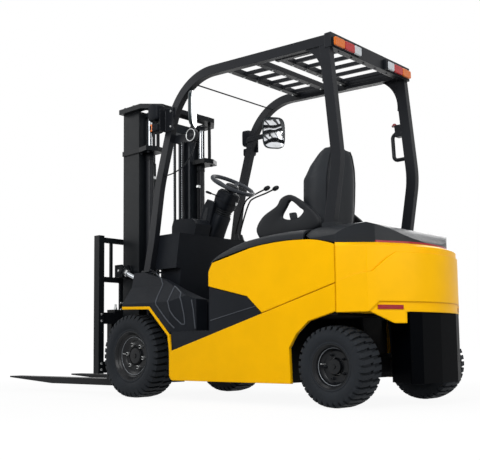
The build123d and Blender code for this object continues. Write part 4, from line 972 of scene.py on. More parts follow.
@dataclass
class Tyre:
    """A lugged pneumatic-profile tyre.

    The carcass is a turned profile; the lugs are blocks that repeat round each shoulder, half a pitch apart.
    """

    name: str
    body: str
    x: float
    y: float
    radius: float
    width: float
    rim_radius: float
    lugs: int
    lug_depth: float = 0.017

    def carcass(self) -> Shape:
        """Sidewalls, shoulders and the floor of the tread, as one closed profile turned about the axle.

        Returns:
            The carcass.
        """
        half, tall = self.width / 2, self.radius - self.rim_radius
        tread = self.radius - self.lug_depth
        wall = np.array(
            [
                (half * 0.74, self.rim_radius - 0.004),
                (half * 0.86, self.rim_radius + 0.004),
                (half * 0.90, self.rim_radius + 0.10 * tall),
                (half * 0.885, self.rim_radius + 0.15 * tall),
                (half * 0.97, self.rim_radius + 0.30 * tall),
                (half * 1.0, self.rim_radius + 0.48 * tall),
                (half * 0.985, self.rim_radius + 0.62 * tall),
                (half * 0.94, self.rim_radius + 0.74 * tall),
                (half * 0.80, tread - 0.004),
                (half * 0.50, tread),
                (0.0, tread + 0.002),
            ]
        )
        curve = smooth_path(wall, 4)
        profile = np.vstack([curve, (curve * np.array([-1, 1]))[-2::-1]])
        return turned(profile, (self.x, self.y, self.radius), LEFT, 96, closed=True)

    def lug_ring(self, side: int) -> Shape:
        """Lugs on one shoulder.

        A lug is a grid of 5 stations from the sidewall to past the crown's middle, each a pair of corners
        that narrow and shift round the tyre; the bottom lies inside the carcass.

        Args:
            side: 1 for the left shoulder, -1 for the right.

        Returns:
            The lugs.
        """
        half, tall = self.width / 2, self.radius - self.rim_radius
        pitch = 2 * np.pi / self.lugs
        along = np.array([0.985, 0.97, 0.86, 0.45, -0.06]) * half * side
        outer = self.radius - np.array([0.38 * tall, 0.20 * tall, 0.006, 0.0, 0.0])
        inner = self.radius - np.array([0.44 * tall, 0.34 * tall, 0.030, 0.026, 0.022])
        lead = np.array([0.0, 0.02, 0.06, 0.20, 0.42]) * pitch * side
        reach = np.array([0.27, 0.30, 0.33, 0.30, 0.24]) * pitch
        centre = np.arange(self.lugs) * pitch + (0.5 * pitch if side < 0 else 0.0)
        edges = np.stack([lead - reach, lead + reach], -1)
        angle = centre[:, None, None, None] + edges[None, :, :, None]
        radius = np.stack([inner, outer], -1)[None, :, None, :]
        angle, radius = np.broadcast_arrays(angle, radius)
        place = np.broadcast_to(along[None, :, None, None], angle.shape)
        points = np.stack(
            [self.x + radius * np.sin(angle), self.y + place, self.radius + radius * np.cos(angle)], -1
        ).reshape(-1, 3)
        cross = np.array([0, 2, 3, 1])
        pairs = np.stack([cross, np.roll(cross, -1)], -1)
        rows = 4 * np.arange(4)
        walls = np.concatenate([np.column_stack([pairs + row, pairs[:, ::-1] + row + 4]) for row in rows])
        caps = np.stack([cross, cross[::-1] + 16])
        one = np.vstack([walls, caps])
        faces = (one[None] + 20 * np.arange(self.lugs)[:, None, None]).reshape(-1, 4)
        return Shape(points, [faces])

    def build(self) -> None:
        """Makes the tyre in place of its CAD node."""
        shape = self.carcass() + self.lug_ring(1) + self.lug_ring(-1)
        build(self.name + "_rubber", shape, self.body, "tyre_rubber", (self.name,), sharp=30)


@dataclass(frozen=True)
class HubSizes:
    """What differs between the two kinds of hub.

    dish is the disc's section as place outwards and share of the rim's radius; circle and cap are such
    shares too, the nuts' circle and the cap's radius. bead is the lock ring's radius and place outwards.
    """

    dish: tuple[tuple[float, float], ...]
    circle: float
    face: float
    nut_across: float
    nut_finish: str
    bead: tuple[float, float]
    cap: float
    depth: float


class HubStyle(Enum):
    """How a wheel is held: a ring of nuts in a deep dish, or a wide cap over a flatter disc."""

    DRIVE = HubSizes(
        ((0.052, 0.70), (0.040, 0.62), (0.040, 0.40), (0.054, 0.37)),
        0.50, 0.040, 0.031, "nut_zinc", (0.133, 0.061), 0.34, 0.062,
    )
    STEER = HubSizes(
        ((0.038, 0.78), (0.030, 0.70), (0.030, 0.42), (0.036, 0.40)),
        0.56, 0.030, 0.018, "bolt_black", (0.106, 0.054), 0.36, 0.060,
    )


@dataclass
class Rim:
    """A pressed steel rim with its flange, lock ring, dish and hub."""

    name: str
    body: str
    x: float
    y: float
    radius: float
    width: float
    rim_radius: float
    side: int
    style: HubStyle
    nuts: int
    first_nut: float = 0.35
    bead_half: float = 0.003

    @property
    def centre(self) -> tuple[float, float, float]:
        """The wheel's middle."""
        return (self.x, self.y, self.radius)

    def profile(self) -> np.ndarray:
        """Closed section through the rim.

        Returns:
            (n, 2) of place outwards from the tyre's middle, and radius.
        """
        half, rim = self.width / 2, self.rim_radius
        dish = [(place, rim * share) for place, share in self.style.value.dish]
        outside = [
            (half * 0.80, rim + 0.012), (half * 0.86, rim + 0.010), (half * 0.87, rim - 0.002),
            (half * 0.78, rim - 0.010), (half * 0.74, rim - 0.014), (half * 0.70, rim - 0.010),
            (half * 0.62, rim - 0.016), (half * 0.56, rim * 0.86),
        ]
        inside = [
            (dish[-1][0] - 0.014, dish[-1][1]), (dish[0][0] - 0.016, rim * 0.66),
            (dish[0][0] - 0.016, rim * 0.84), (-half * 0.80, rim - 0.014), (-half * 0.86, rim + 0.010),
            (-half * 0.80, rim + 0.012), (-half * 0.74, rim), (half * 0.74, rim),
        ]
        return np.array(outside + dish + inside)

    def part(self, label: str, shape: Shape, finish: str, sharp: float = 35.0) -> None:
        """Adds one of the rim's pieces, which stands for the CAD node if it is the steel."""
        replaces = (self.name,) if label == "steel" else ()
        build(f"{self.name}_{label}", shape, self.body, finish, replaces, sharp=sharp)

    def build(self) -> None:
        """Makes the rim in place of its CAD node, with its nuts, hub and valve."""
        sizes, axis = self.style.value, (0, self.side, 0)
        self.part("steel", turned(self.profile(), self.centre, axis, 72, closed=True), "rim_black", 28)
        angle = np.arange(self.nuts) * 2 * np.pi / self.nuts + self.first_nut
        circle = self.rim_radius * sizes.circle
        face = np.full(self.nuts, self.y + self.side * sizes.face)
        places = np.stack([self.x + circle * np.sin(angle), face, self.radius + circle * np.cos(angle)], -1)
        self.part("nuts", prisms(places, axis, sizes.nut_across, 0.018), sizes.nut_finish)
        self.part("studs", prisms(places, axis, sizes.nut_across * 0.55, 0.024, 12), "frame_black")
        turn = np.arange(10) * 2 * np.pi / 10
        bead_radius, bead_out = sizes.bead
        bead = np.stack([bead_out + self.bead_half * np.sin(turn),
                         bead_radius + self.bead_half * np.cos(turn)], -1)
        self.part("bead", turned(bead, self.centre, axis, 72, closed=True), "rim_edge", 60)
        stem = [(0.0, 0.0), (0.0, 0.005), (0.020, 0.005), (0.022, 0.0036), (0.034, 0.0036), (0.034, 0.0)]
        foot = (self.x + self.rim_radius * 0.60, self.y + self.side * (sizes.face - 0.002),
                self.radius + 0.012)
        valve = posed(turned(stem, ORIGIN, UP, 12), foot, AHEAD, (0.25, self.side, 0.1))
        self.part("valve", valve, "nut_zinc", 40)
        cap, depth = self.rim_radius * sizes.cap, sizes.depth
        hub = [(0.0, 0.0), (0.0, cap), (depth * 0.72, cap), (depth * 0.86, cap * 0.94),
               (depth * 0.90, cap * 0.6), (depth * 0.90, cap * 0.3), (depth, cap * 0.26), (depth, 0.0)]
        self.part("hub", turned(hub, self.centre, axis, 40), "rim_black", 28)


@dataclass
class Wheels:
    """The four wheels, each a tyre and a rim."""

    front_lugs: int = 40
    rear_lugs: int = 34
    front_nuts: int = 6
    rear_nuts: int = 5

    def build(self) -> None:
        """Makes the wheels."""
        for label, side in (("left", 1), ("right", -1)):
            front, rear = f"front_wheel_{label}", f"rear_wheel_{label}"
            driven = (front, AXLE_X, side * FRONT_WHEEL_Y, FRONT_RADIUS, FRONT_WIDTH, FRONT_RIM)
            steered = (rear, REAR_X, side * REAR_WHEEL_Y, REAR_RADIUS, REAR_WIDTH, REAR_RIM)
            Tyre(f"front_tyre_{label}", *driven, self.front_lugs).build()
            Tyre(f"rear_tyre_{label}", *steered, self.rear_lugs).build()
            Rim(f"front_rim_{label}", *driven, side, HubStyle.DRIVE, self.front_nuts).build()
            Rim(f"rear_rim_{label}", *steered, side, HubStyle.STEER, self.rear_nuts).build()


@dataclass
class Seat:
    """The driver's seat: padded cushion and bucket back, a moulded shell and the looped hip restraints."""

    x: float = AXLE_X - 1.110
    low: float = 1.044
    cushion_half: tuple[float, float] = (0.216, 0.236)
    cushion_tall: float = 0.116
    seam_share: float = 0.62
    wing_y: float = 0.135
    waist_z: float = 1.375
    back_z: float = 1.1623
    restraint_y: float = 0.2593
    restraint_z: float = 1.042
    seam_width: float = 0.006
    seam_depth: float = 0.005
    body: str = "hood"

    def cushion(self) -> None:
        """The cushion: a superellipsoid with raised side bolsters and a rolled front edge, seamed on top.

        Point = middle + (a * c(up) * c(round), b * c(up) * s(round), h * s(up)), each cosine and sine with
        its power, then z falls in the seat's middle by a share of its height.
        """
        up = np.linspace(-np.pi / 2, np.pi / 2, 25)[:, None]
        turn = np.linspace(0, 2 * np.pi, 72, endpoint=False)[None]
        half_x, half_y = self.cushion_half
        ahead = half_x * bent(np.cos(up), 0.32) * bent(np.cos(turn), 0.42)
        aside = half_y * bent(np.cos(up), 0.32) * bent(np.sin(turn), 0.42)
        height = self.cushion_tall / 2 * bent(np.sin(up), 0.55) * np.ones_like(turn)
        inner = np.clip(1 - np.abs(aside) / (self.seam_share * half_y), 0, 1)
        front = np.clip((ahead - 0.10) / (half_x - 0.10), 0, 1)
        height = np.where(height > 0, height * (1 - 0.30 * inner**0.5 - 0.35 * front**2), height)
        points = np.stack([self.x + ahead, aside, self.low + self.cushion_tall / 2 + height], -1)
        piece = build("seat_cushion_pad", skin(points), self.body, "seat_vinyl", ("seat_cushion",), sharp=80)
        swollen(piece, 0.006)
        spots = read_points(piece.data)
        side = np.abs(np.abs(spots[:, 1]) - self.seam_share * half_y)
        cross = np.minimum(np.abs(spots[:, 0] - self.x - 0.07), np.abs(spots[:, 0] - self.x + 0.06))
        cross = np.where(np.abs(spots[:, 1]) < self.seam_share * half_y, cross, 1.0)
        top = np.where(spots[:, 2] > self.low + 0.6 * self.cushion_tall, 0.0, 1.0)
        belt = np.abs(spots[:, 2] - self.low - 0.40 * self.cushion_tall)
        sewn(piece, np.minimum(np.minimum(side, cross) + top, belt), self.seam_width, self.seam_depth)
        self.soften(piece)

    @staticmethod
    def soften(piece: bpy.types.Object) -> None:
        """One subdivision and smooth shading."""
        modifier = piece.modifiers.new("subdivision", "SUBSURF")
        modifier.levels = modifier.render_levels = 1
        piece.data.shade_smooth()

    def rings(self, shrink: float = 0.0) -> np.ndarray:
        """Plans of the back, one per height: a bucket that is wide in front and narrow behind.

        Each plan is a closed curve through points given as shares of its front x, rear x and half width; the
        three follow smooth curves of the height, and the last plans draw in to close the top.

        Args:
            shrink: how much smaller each plan is, as a share.

        Returns:
            The plans as (height, place, 3).
        """
        height = np.array([-0.09, 0.0, 0.128, 0.246, 0.338, 0.420, 0.456, 0.470])
        front = np.array([-0.150, -0.142, -0.152, -0.160, -0.206, -0.252, -0.276, -0.290])
        rear = np.array([-0.318, -0.322, -0.326, -0.330, -0.331, -0.328, -0.322, -0.312])
        half = np.array([0.172, 0.206, 0.222, 0.226, 0.208, 0.168, 0.135, 0.090])
        fine = np.linspace(0, 1, 34) ** 0.9
        at = height[0] + fine * (height[-1] - height[0])
        front, rear, half = (np.interp(at, height, v) for v in (front, rear, half))
        plan = np.array([
            (0.30, 0.0), (0.26, 0.35), (0.10, 0.62), (0.0, 0.86), (0.06, 0.98), (0.26, 1.0), (0.52, 0.93),
            (0.80, 0.74), (0.96, 0.54), (1.0, 0.36), (1.0, 0.0),
        ])
        plan = np.vstack([plan, (plan * np.array([1, -1]))[-2:0:-1]])
        loop = closed_curve(plan, 4)
        depth = loop[None, :, 0] * (rear - front)[:, None] + front[:, None]
        across = loop[None, :, 1] * half[:, None]
        rise = np.broadcast_to(at[:, None], depth.shape)
        last = np.array([0.96, 0.86, 0.62, 0.30])
        extra = np.array([0.474, 0.480, 0.483, 0.484])
        middle = np.array([depth[-1].mean(), 0.0])
        domes = [np.stack([middle[0] + (depth[-1] - middle[0]) * s, across[-1] * s,
                           np.full_like(depth[-1], z)], -1)
                 for s, z in zip(last, extra)]
        body = np.concatenate([np.stack([depth, across, rise], -1), np.stack(domes)])
        centre = np.array([-0.25, 0.0, 0.0])
        body[..., :2] = centre[:2] + (body[..., :2] - centre[:2]) * (1 - shrink)
        return body + np.array([self.x, 0.0, self.back_z])

    def back(self) -> None:
        """The padded back, with a seam down each wing and a waist seam across its face."""
        piece = build("seat_back_pad", skin(self.rings(0.015)), self.body, "seat_vinyl", ("seat_back",),
                      sharp=80)
        swollen(piece, 0.005)
        spots = read_points(piece.data)
        wing = np.abs(np.abs(spots[:, 1]) - self.wing_y)
        wing = np.where(spots[:, 0] > self.x - 0.235, wing, 1.0)
        waist = np.where(np.abs(spots[:, 1]) < self.wing_y, np.abs(spots[:, 2] - self.waist_z), 1.0)
        waist = np.where(spots[:, 0] > self.x - 0.25, waist, 1.0)
        sewn(piece, np.minimum(wing, waist), self.seam_width, self.seam_depth)
        self.soften(piece)

    def shell(self) -> None:
        """The moulded rear shell round the pad's narrow rear, with a piping down each of its edges."""
        rows, columns = slice(2, 33), slice(30, 51)
        outer = self.rings()[rows, columns].copy()
        middle = np.array([self.x - 0.20, 0.0])
        away = unit(outer[..., :2] - middle)
        outer[..., :2] += away * 0.007
        inner = outer.copy()
        inner[..., :2] -= away * 0.020
        ring = np.concatenate([outer, inner[:, ::-1]], 1)
        build("seat_shell", skin(ring), self.body, "hood_moulding", sharp=40)
        edge = np.concatenate([outer[:, :1], outer[:, -1:]], 1)
        for index, name in ((0, "right"), (1, "left")):
            build(f"seat_piping_{name}", swept(edge[:, index], oval(0.006), AHEAD), self.body, "grip_rubber")

    def restraint(self) -> Shape:
        """One hip restraint: a tube of oval section whose outer and inner sides follow two loops.

        About the hole's middle, radius = middle of both loops' radii + half their difference * cos v, and
        y = mean y + half thickness * sin v, both with a power that flattens the section.

        Returns:
            The left restraint.
        """
        outer = np.array([(0.181, 0.040), (0.187, 0.093), (0.127, 0.160), (0.016, 0.212), (-0.019, 0.254),
                          (-0.065, 0.273), (-0.118, 0.268), (-0.203, 0.215), (-0.300, 0.134), (-0.336, 0.079),
                          (-0.305, 0.034), (-0.162, 0.014), (0.125, 0.014)])
        hole = np.array([(-0.038, 0.131), (-0.072, 0.200), (-0.108, 0.232), (-0.176, 0.180), (-0.205, 0.151),
                         (-0.138, 0.112)])
        centre = np.array([-0.120, 0.165])
        angle = np.linspace(-np.pi, np.pi, 96, endpoint=False)
        radii = []
        for corners in (outer, hole):
            curve = closed_curve(corners, 12) - centre
            bearing, length = np.arctan2(curve[:, 1], curve[:, 0]), np.hypot(curve[:, 0], curve[:, 1])
            order = np.argsort(bearing)
            radii.append(np.interp(angle, bearing[order], length[order], period=2 * np.pi))
        far, near = radii
        turn = np.linspace(0, 2 * np.pi, 16, endpoint=False)
        radius = (far + near)[:, None] / 2 + (far - near)[:, None] / 2 * bent(np.cos(turn), 0.7)[None]
        aside = self.restraint_y + 0.0188 * bent(np.sin(turn), 0.75)[None] * np.ones_like(radius)
        x = self.x + centre[0] + radius * np.cos(angle)[:, None]
        z = self.restraint_z + centre[1] + radius * np.sin(angle)[:, None]
        return Shape(np.stack([x, aside, z], -1).reshape(-1, 3), [lattice(96, 16, True, True)[:, ::-1]])

    def build(self) -> None:
        """Makes the seat."""
        self.cushion()
        self.back()
        self.shell()
        loops = self.restraint()
        build("hip_restraint_loops", loops.both_sides(), self.body, "grip_rubber", ("hip_restraints",),
              sharp=60)
        rail = blocks([(self.x - 0.20, 0.150, 1.041)], [(self.x + 0.17, 0.182, 1.050)]).both_sides()
        build("seat_rails", rail, self.body, "mast_rail", bevel=0.002)
        stalk = posed(loaf([(0, 0, 0, 0.014, 0.009), (0.07, 0, 0, 0.013, 0.009), (0.078, 0, 0, 0.026, 0.012),
                            (0.125, 0, 0, 0.026, 0.012), (0.130, 0, 0, 0.022, 0.009)], 5.0),
                      (self.x - 0.13, 0.2385, 1.075), AHEAD, (0.25, 0.0, 1))
        build("belt_buckle", stalk, self.body, "hood_moulding", sharp=50)


@dataclass
class Helm:
    """Steering wheel, its column with gaiter and shroud, and the two mast levers."""

    hub: tuple[float, float, float] = (AXLE_X - 0.470, 0.0, 1.520)
    lean: float = math.radians(32.0)
    dash_z: float = 1.150
    ring: float = 0.159
    tube: float = 0.0148

    @property
    def axis(self) -> tuple[float, float, float]:
        """The column's direction."""
        return (-math.sin(self.lean), 0.0, math.cos(self.lean))

    def wheel(self) -> None:
        """The rim is a torus with shallow finger waves; three dished spokes run to a domed pad."""
        turn = np.linspace(0, 2 * np.pi, 120, endpoint=False)[:, None]
        round_tube = np.linspace(0, 2 * np.pi, 16, endpoint=False)[None]
        section = self.tube * (1 + 0.035 * np.cos(40 * turn)) * np.ones_like(round_tube)
        radius = self.ring + section * np.cos(round_tube)
        points = np.stack([radius * np.cos(turn), radius * np.sin(turn), section * np.sin(round_tube)], -1)
        rim = Shape(points.reshape(-1, 3), [lattice(120, 16, True, True)])
        share = np.linspace(0, 1, 9)
        run = 0.030 + share * 0.120
        dish = -0.026 * (1 - share) ** 2
        spokes = joined(
            swept(np.stack([run * math.cos(a), run * math.sin(a), dish], -1),
                  soft_box(0.015, 0.006, 4.0, 16), UP)
            for a in map(math.radians, (90.0, 210.0, 330.0))
        )
        pad = np.array([(-0.046, 0.0), (-0.046, 0.026), (-0.030, 0.040), (-0.016, 0.050), (-0.006, 0.050),
                        (0.002, 0.044), (0.006, 0.030), (0.006, 0.020), (0.0075, 0.018), (0.0085, 0.0)])
        cap = turned(pad, ORIGIN, UP, 40)
        whole = posed(rim + spokes, self.hub, LEFT, self.axis)
        build("wheel_rim", whole, "steering_wheel_body", "wheel_rubber", ("steering_wheel",), sharp=50)
        build("wheel_pad", posed(cap, self.hub, LEFT, self.axis), "steering_wheel_body", "grip_rubber",
              sharp=30)

    def column(self) -> None:
        """Shroud halves under the wheel, a folded gaiter below them and a flared foot on the dash."""
        length = (self.hub[2] - self.dash_z) / math.cos(self.lean)
        shroud = loaf([
            (-0.050, 0.0, 0.0, 0.046, 0.044), (-0.054, 0.0, 0.0, 0.060, 0.062),
            (-0.072, 0.0, 0.0, 0.070, 0.076), (-0.120, 0.002, 0.0, 0.072, 0.080),
            (-0.168, 0.0, 0.0, 0.068, 0.074), (-0.182, 0.0, 0.0, 0.062, 0.066),
            (-0.186, 0.0, 0.0, 0.056, 0.060),
        ][::-1], 3.5, 48)
        folds = np.linspace(0, 1, 19)
        wave = np.abs(np.sin(folds * np.pi * 3))
        gaiter = loaf([(-0.180 - f * 0.048, 0.0, 0.0, 0.056 + 0.008 * w, 0.058 + 0.008 * w)
                       for f, w in zip(folds, wave)][::-1], 3.2, 48)
        low = -length + 0.030
        foot = loaf([
            (low, 0.004, 0.0, 0.080, 0.084), (low + 0.03, 0.002, 0.0, 0.074, 0.080),
            (-0.300, 0.0, 0.0, 0.068, 0.074), (-0.238, 0.0, 0.0, 0.066, 0.072),
            (-0.226, 0.0, 0.0, 0.060, 0.064),
        ], 3.8, 48)
        joint = loaf([(-0.128, 0.002, 0.0, 0.0724, 0.0804), (-0.124, 0.002, 0.0, 0.0724, 0.0804)], 3.5, 48)
        parts = posed(shroud + foot, self.hub, (1, 0, 0.6249), self.axis)
        build("column_shroud", parts, "truck", "black_moulding", ("steering_column",), sharp=40)
        build("column_gaiter", posed(gaiter, self.hub, (1, 0, 0.6249), self.axis), "truck", "grip_rubber",
              sharp=60)
        build("column_joint", posed(joint, self.hub, (1, 0, 0.6249), self.axis), "truck", "frame_black")
        side = side_view([(-0.205, 1.150), (-0.214, 1.262), (-0.262, 1.388), (-0.300, 1.430), (-0.372, 1.398),
                          (-0.318, 1.240), (-0.300, 1.150)])
        cheek = slab(side, 0.058, 0.098, 0.006, Way.Y)
        build("column_cheek", cheek, "truck", "black_moulding", sharp=30)
        rib = side_view([(-0.236, 1.180), (-0.240, 1.270), (-0.290, 1.372), (-0.318, 1.360), (-0.286, 1.250),
                         (-0.276, 1.180)])
        build("column_cheek_panel", slab(rib, 0.096, 0.1015, 0.003, Way.Y), "truck", "hood_moulding",
              sharp=30)

    def switches(self) -> None:
        """Direction and lamp stalks beside the shroud, and the key lock."""
        stalk = turned([(0.0, 0.0), (0.0, 0.006), (0.070, 0.0045), (0.072, 0.0085), (0.104, 0.0095),
                        (0.112, 0.007), (0.114, 0.0)], ORIGIN, UP, 16)
        root = np.array(self.hub) - np.array(self.axis) * 0.095
        stalks = joined(
            posed(stalk, tuple(root + np.array([0.02, side * 0.070, 0.0])), AHEAD, (0.30, side, 0.25))
            for side in (1, -1)
        )
        build("column_stalks", stalks, "truck", "grip_rubber", sharp=40)
        key_place = np.array(self.hub) - np.array(self.axis) * 0.13
        lock = turned([(0.0, 0.0), (0.0, 0.013), (0.008, 0.013), (0.010, 0.010), (0.010, 0.0)],
                      tuple(key_place + np.array([-0.060, -0.036, -0.02])), (-0.85, 0, -0.53), 24)
        build("key_lock", lock, "truck", "nut_zinc", sharp=30)

    def levers(self) -> None:
        """Two bent rods with egg-shaped knobs; each rod leaves a gaiter on the dash."""
        rods, knobs, boots = [], [], []
        for y, rear in ((-0.215, 0.0), (-0.262, -0.045)):
            corners = np.array([(-0.312, 1.150), (-0.300, 1.205), (-0.345, 1.330), (-0.395, 1.430),
                                (-0.440, 1.462), (-0.520 + rear, 1.486), (-0.600 + rear, 1.506)])
            path = smooth_path(corners, 8)
            line = np.stack([fore(0) + path[:, 0], np.full(len(path), y), path[:, 1]], -1)
            rods.append(swept(line, oval(0.006, steps=10)))
            way = unit(line[-1] - line[-5])
            knob = np.array([(-0.012, 0.0), (-0.012, 0.008), (-0.006, 0.014), (0.008, 0.0175),
                             (0.026, 0.0165), (0.038, 0.011), (0.043, 0.005), (0.044, 0.0)])
            knobs.append(turned(smooth_path(knob, 4), tuple(line[-1]), tuple(way), 24))
            ridge = np.linspace(0, 1, 22)
            fold = 0.024 - 0.014 * ridge + 0.0028 * np.abs(np.sin(ridge * np.pi * 4))
            boot = np.column_stack([ridge * 0.050 - 0.001, fold])
            boots.append(turned(boot, (fore(-0.311), y, self.dash_z), (0.08, 0, 1), 24))
        build("lever_rods", joined(rods), "truck", "frame_black", ("levers",), sharp=50)
        build("lever_knobs", joined(knobs), "truck", "grip_rubber", sharp=60)
        build("lever_boots", joined(boots), "truck", "grip_rubber", sharp=60)

    def build(self) -> None:
        """Makes the steering gear and levers."""
        self.wheel()
        self.column()
        self.switches()
        self.levers()


@dataclass
class Hood:
    """The seat hood's lid: one crowned moulding from the cover's edge on one side to the other."""

    rear: float = -1.556
    front: float = -0.790
    half: float = 0.5895
    thick: float = 0.014
    hinge_x: float = -1.5585
    hinge_z: float = 1.052
    hinge_y: float = 0.190
    side_power: float = 0.35
    crown_power: float = 0.6

    def rings(self, inner: bool) -> np.ndarray:
        """Sections across the lid, one at each station.

        y = half * |cos a| ** side power and z = edge + (crown - edge) * sin a ** crown power. The edge and
        the crown are smooth curves of x; the inner sections lie one thickness inside.

        Args:
            inner: whether they are the inner sections.

        Returns:
            The sections as (station, place, 3).
        """
        x = np.linspace(self.rear, self.front - 0.002, 36)
        edge_at = smooth_path(np.array([(-1.600, 0.963), (-1.386, 0.971), (-1.149, 0.954), (-0.960, 0.920),
                                        (-0.824, 0.887), (-0.790, 0.832)]), 8)
        crown_at = smooth_path(np.array([(-1.600, 1.040), (-1.400, 1.042), (-1.260, 1.037), (-1.050, 1.016),
                                         (-0.900, 0.967), (-0.824, 0.915), (-0.788, 0.868)]), 8)
        edge = np.interp(x, edge_at[:, 0], edge_at[:, 1])
        crown = np.interp(x, crown_at[:, 0], crown_at[:, 1])
        bearing = np.linspace(np.pi, 0, 41)
        cos, sin = np.cos(bearing), np.sin(bearing)
        fall = self.thick if inner else 0.0
        y = bent(cos, self.side_power) * (self.half - fall)
        rise = np.abs(sin) ** self.crown_power
        z = edge[:, None] + (crown - edge - fall)[:, None] * rise[None]
        return np.stack([np.broadcast_to(fore(0) + x[:, None], z.shape), np.broadcast_to(y, z.shape), z], -1)

    def build(self) -> None:
        """Makes the lid with its front wall, seat plinth and hinge barrels."""
        outer, inner = self.rings(False), self.rings(True)
        lid = skin(np.concatenate([outer, inner[:, ::-1]], 1))
        face = outer[-1][:, 1:]
        wall = slab(face, fore(self.front) - 0.020, fore(self.front) - 0.001, 0.003, Way.X)
        build("hood_crown", lid, "hood", "hood_moulding", ("hood_lid",), sharp=32)
        build("hood_front_wall", wall, "hood", "hood_moulding", sharp=32)
        plinth = loaf([(0.960, fore(-1.130), 0, 0.205, 0.178), (1.034, fore(-1.130), 0, 0.205, 0.178),
                       (1.041, fore(-1.130), 0, 0.200, 0.173)], 8.0, 48)
        build("seat_plinth", plinth, "hood", "black_moulding", sharp=40)
        barrel = turned([(-0.030, 0.0), (-0.030, 0.010), (-0.028, 0.011), (0.028, 0.011), (0.030, 0.010),
                         (0.030, 0.0)], (fore(self.hinge_x), self.hinge_y, self.hinge_z), LEFT, 24)
        leaf = blocks([(fore(self.hinge_x) + 0.004, self.hinge_y - 0.028, self.hinge_z - 0.018)],
                      [(fore(self.hinge_x) + 0.044, self.hinge_y + 0.028, self.hinge_z - 0.004)])
        build("hood_hinges", (barrel + leaf).both_sides(), "hood", "frame_black", sharp=40)


@dataclass
class Lamps:
    """Tail lamps in three colours a side, headlamps with their turn lamps, and their brackets."""

    tail_x: float = -1.686
    tail_z: float = 2.156
    head_x: float = -0.205
    head_y: float = 0.500
    high_z: float = 2.012
    low_z: float = 1.898

    def paired(self, outline: np.ndarray, y: float, low: float, high: float, soften: float) -> Shape:
        """A plate at y and one at -y, low and high being its places along X from the tail lamps' line."""
        x = fore(self.tail_x)
        places = (np.array([side * y, self.tail_z]) for side in (1, -1))
        return joined(slab(outline + place, x + low, x + high, soften, Way.X) for place in places)

    def tail(self) -> None:
        """Each lamp is a black tray with an amber, a red and a clear lens side by side."""
        trays = self.paired(soft_box(0.1445, 0.030, 12.0, 48), 0.295, -0.010, 0.0, 0.002)
        end = blocks([(fore(self.tail_x) - 0.020, -0.150, self.tail_z - 0.032)],
                     [(fore(self.tail_x), -0.126, self.tail_z + 0.034)])
        build("tail_lamp_trays", trays + end, "truck", "black_moulding", ("tail_lamps",), bevel=0.002,
              sharp=40)
        for label, finish, inner, outer in (
            ("amber", "lens_amber", 0.334, 0.436), ("red", "lens_red", 0.230, 0.331),
            ("clear", "lens_clear", 0.156, 0.227),
        ):
            middle, half = (inner + outer) / 2, (outer - inner) / 2
            lens = self.paired(soft_box(half, 0.0265, 9.0, 40), middle, -0.0235, -0.008, 0.003)
            build(f"tail_lens_{label}", lens, "truck", finish, sharp=30)

    def housing(self, z: float, half_y: float, half_z: float, half_x: float) -> Shape:
        """A lamp's bowl: soft boxes along X that shrink towards the back.

        Args:
            z: its height.
            half_y: half its width.
            half_z: half its height.
            half_x: half its length.

        Returns:
            The left bowl.
        """
        stations = ((-1.0, 0.62), (-0.97, 0.72), (-0.75, 0.86), (-0.20, 0.97), (0.55, 1.0), (0.95, 1.0),
                    (1.0, 0.96))
        rings = []
        for place, share in stations:
            line = soft_box(half_y * share, half_z * share, 6.0, 40) + np.array([self.head_y, z])
            rings.append(np.insert(line, 0, fore(self.head_x) + place * half_x, axis=1))
        return skin(np.stack(rings))

    def head(self) -> None:
        """Headlamp and turn lamp a side, on a bent plate from the pillar."""
        bowls = self.housing(self.high_z, 0.050, 0.064, 0.042) + self.housing(self.low_z, 0.044, 0.031, 0.036)
        build("headlamp_bowls", bowls.both_sides(), "truck", "black_moulding", ("headlamps",), sharp=35)
        glass = slab(soft_box(0.043, 0.056, 6.0, 40) + np.array([self.head_y, self.high_z]),
                     fore(self.head_x) + 0.034, fore(self.head_x) + 0.0418, 0.003, Way.X)
        build("headlamp_glasses", glass.both_sides(), "truck", "lens_clear", sharp=30)
        amber = slab(soft_box(0.038, 0.026, 6.0, 40) + np.array([self.head_y, self.low_z]),
                     fore(self.head_x) + 0.028, fore(self.head_x) + 0.0358, 0.003, Way.X)
        flank = slab(soft_box(0.012, 0.026, 6.0, 24) + np.array([fore(self.head_x) + 0.018, self.low_z]),
                     self.head_y + 0.034, self.head_y + 0.0438, 0.002, Way.Y)
        build("turn_lenses", (amber + flank).both_sides(), "truck", "lens_amber", sharp=30)
        low = self.low_z - 0.026
        x = fore(self.head_x)
        plate = blocks([(x - 0.122, 0.4502, low), (x - 0.044, 0.455, low)], [(x - 0.036, 0.4602, low + 0.168),
                                                                      (x - 0.034, 0.515, low + 0.158)])
        build("headlamp_brackets", plate.both_sides(), "truck", "black_gloss", bevel=0.002)
        bolt = prisms([(x - 0.100, 0.460, low + 0.03), (x - 0.100, 0.460, low + 0.14)], LEFT, 0.016, 0.008)
        build("headlamp_bolts", bolt.both_sides(), "truck", "nut_zinc")

    def build(self) -> None:
        """Makes the lamps."""
        self.tail()
        self.head()


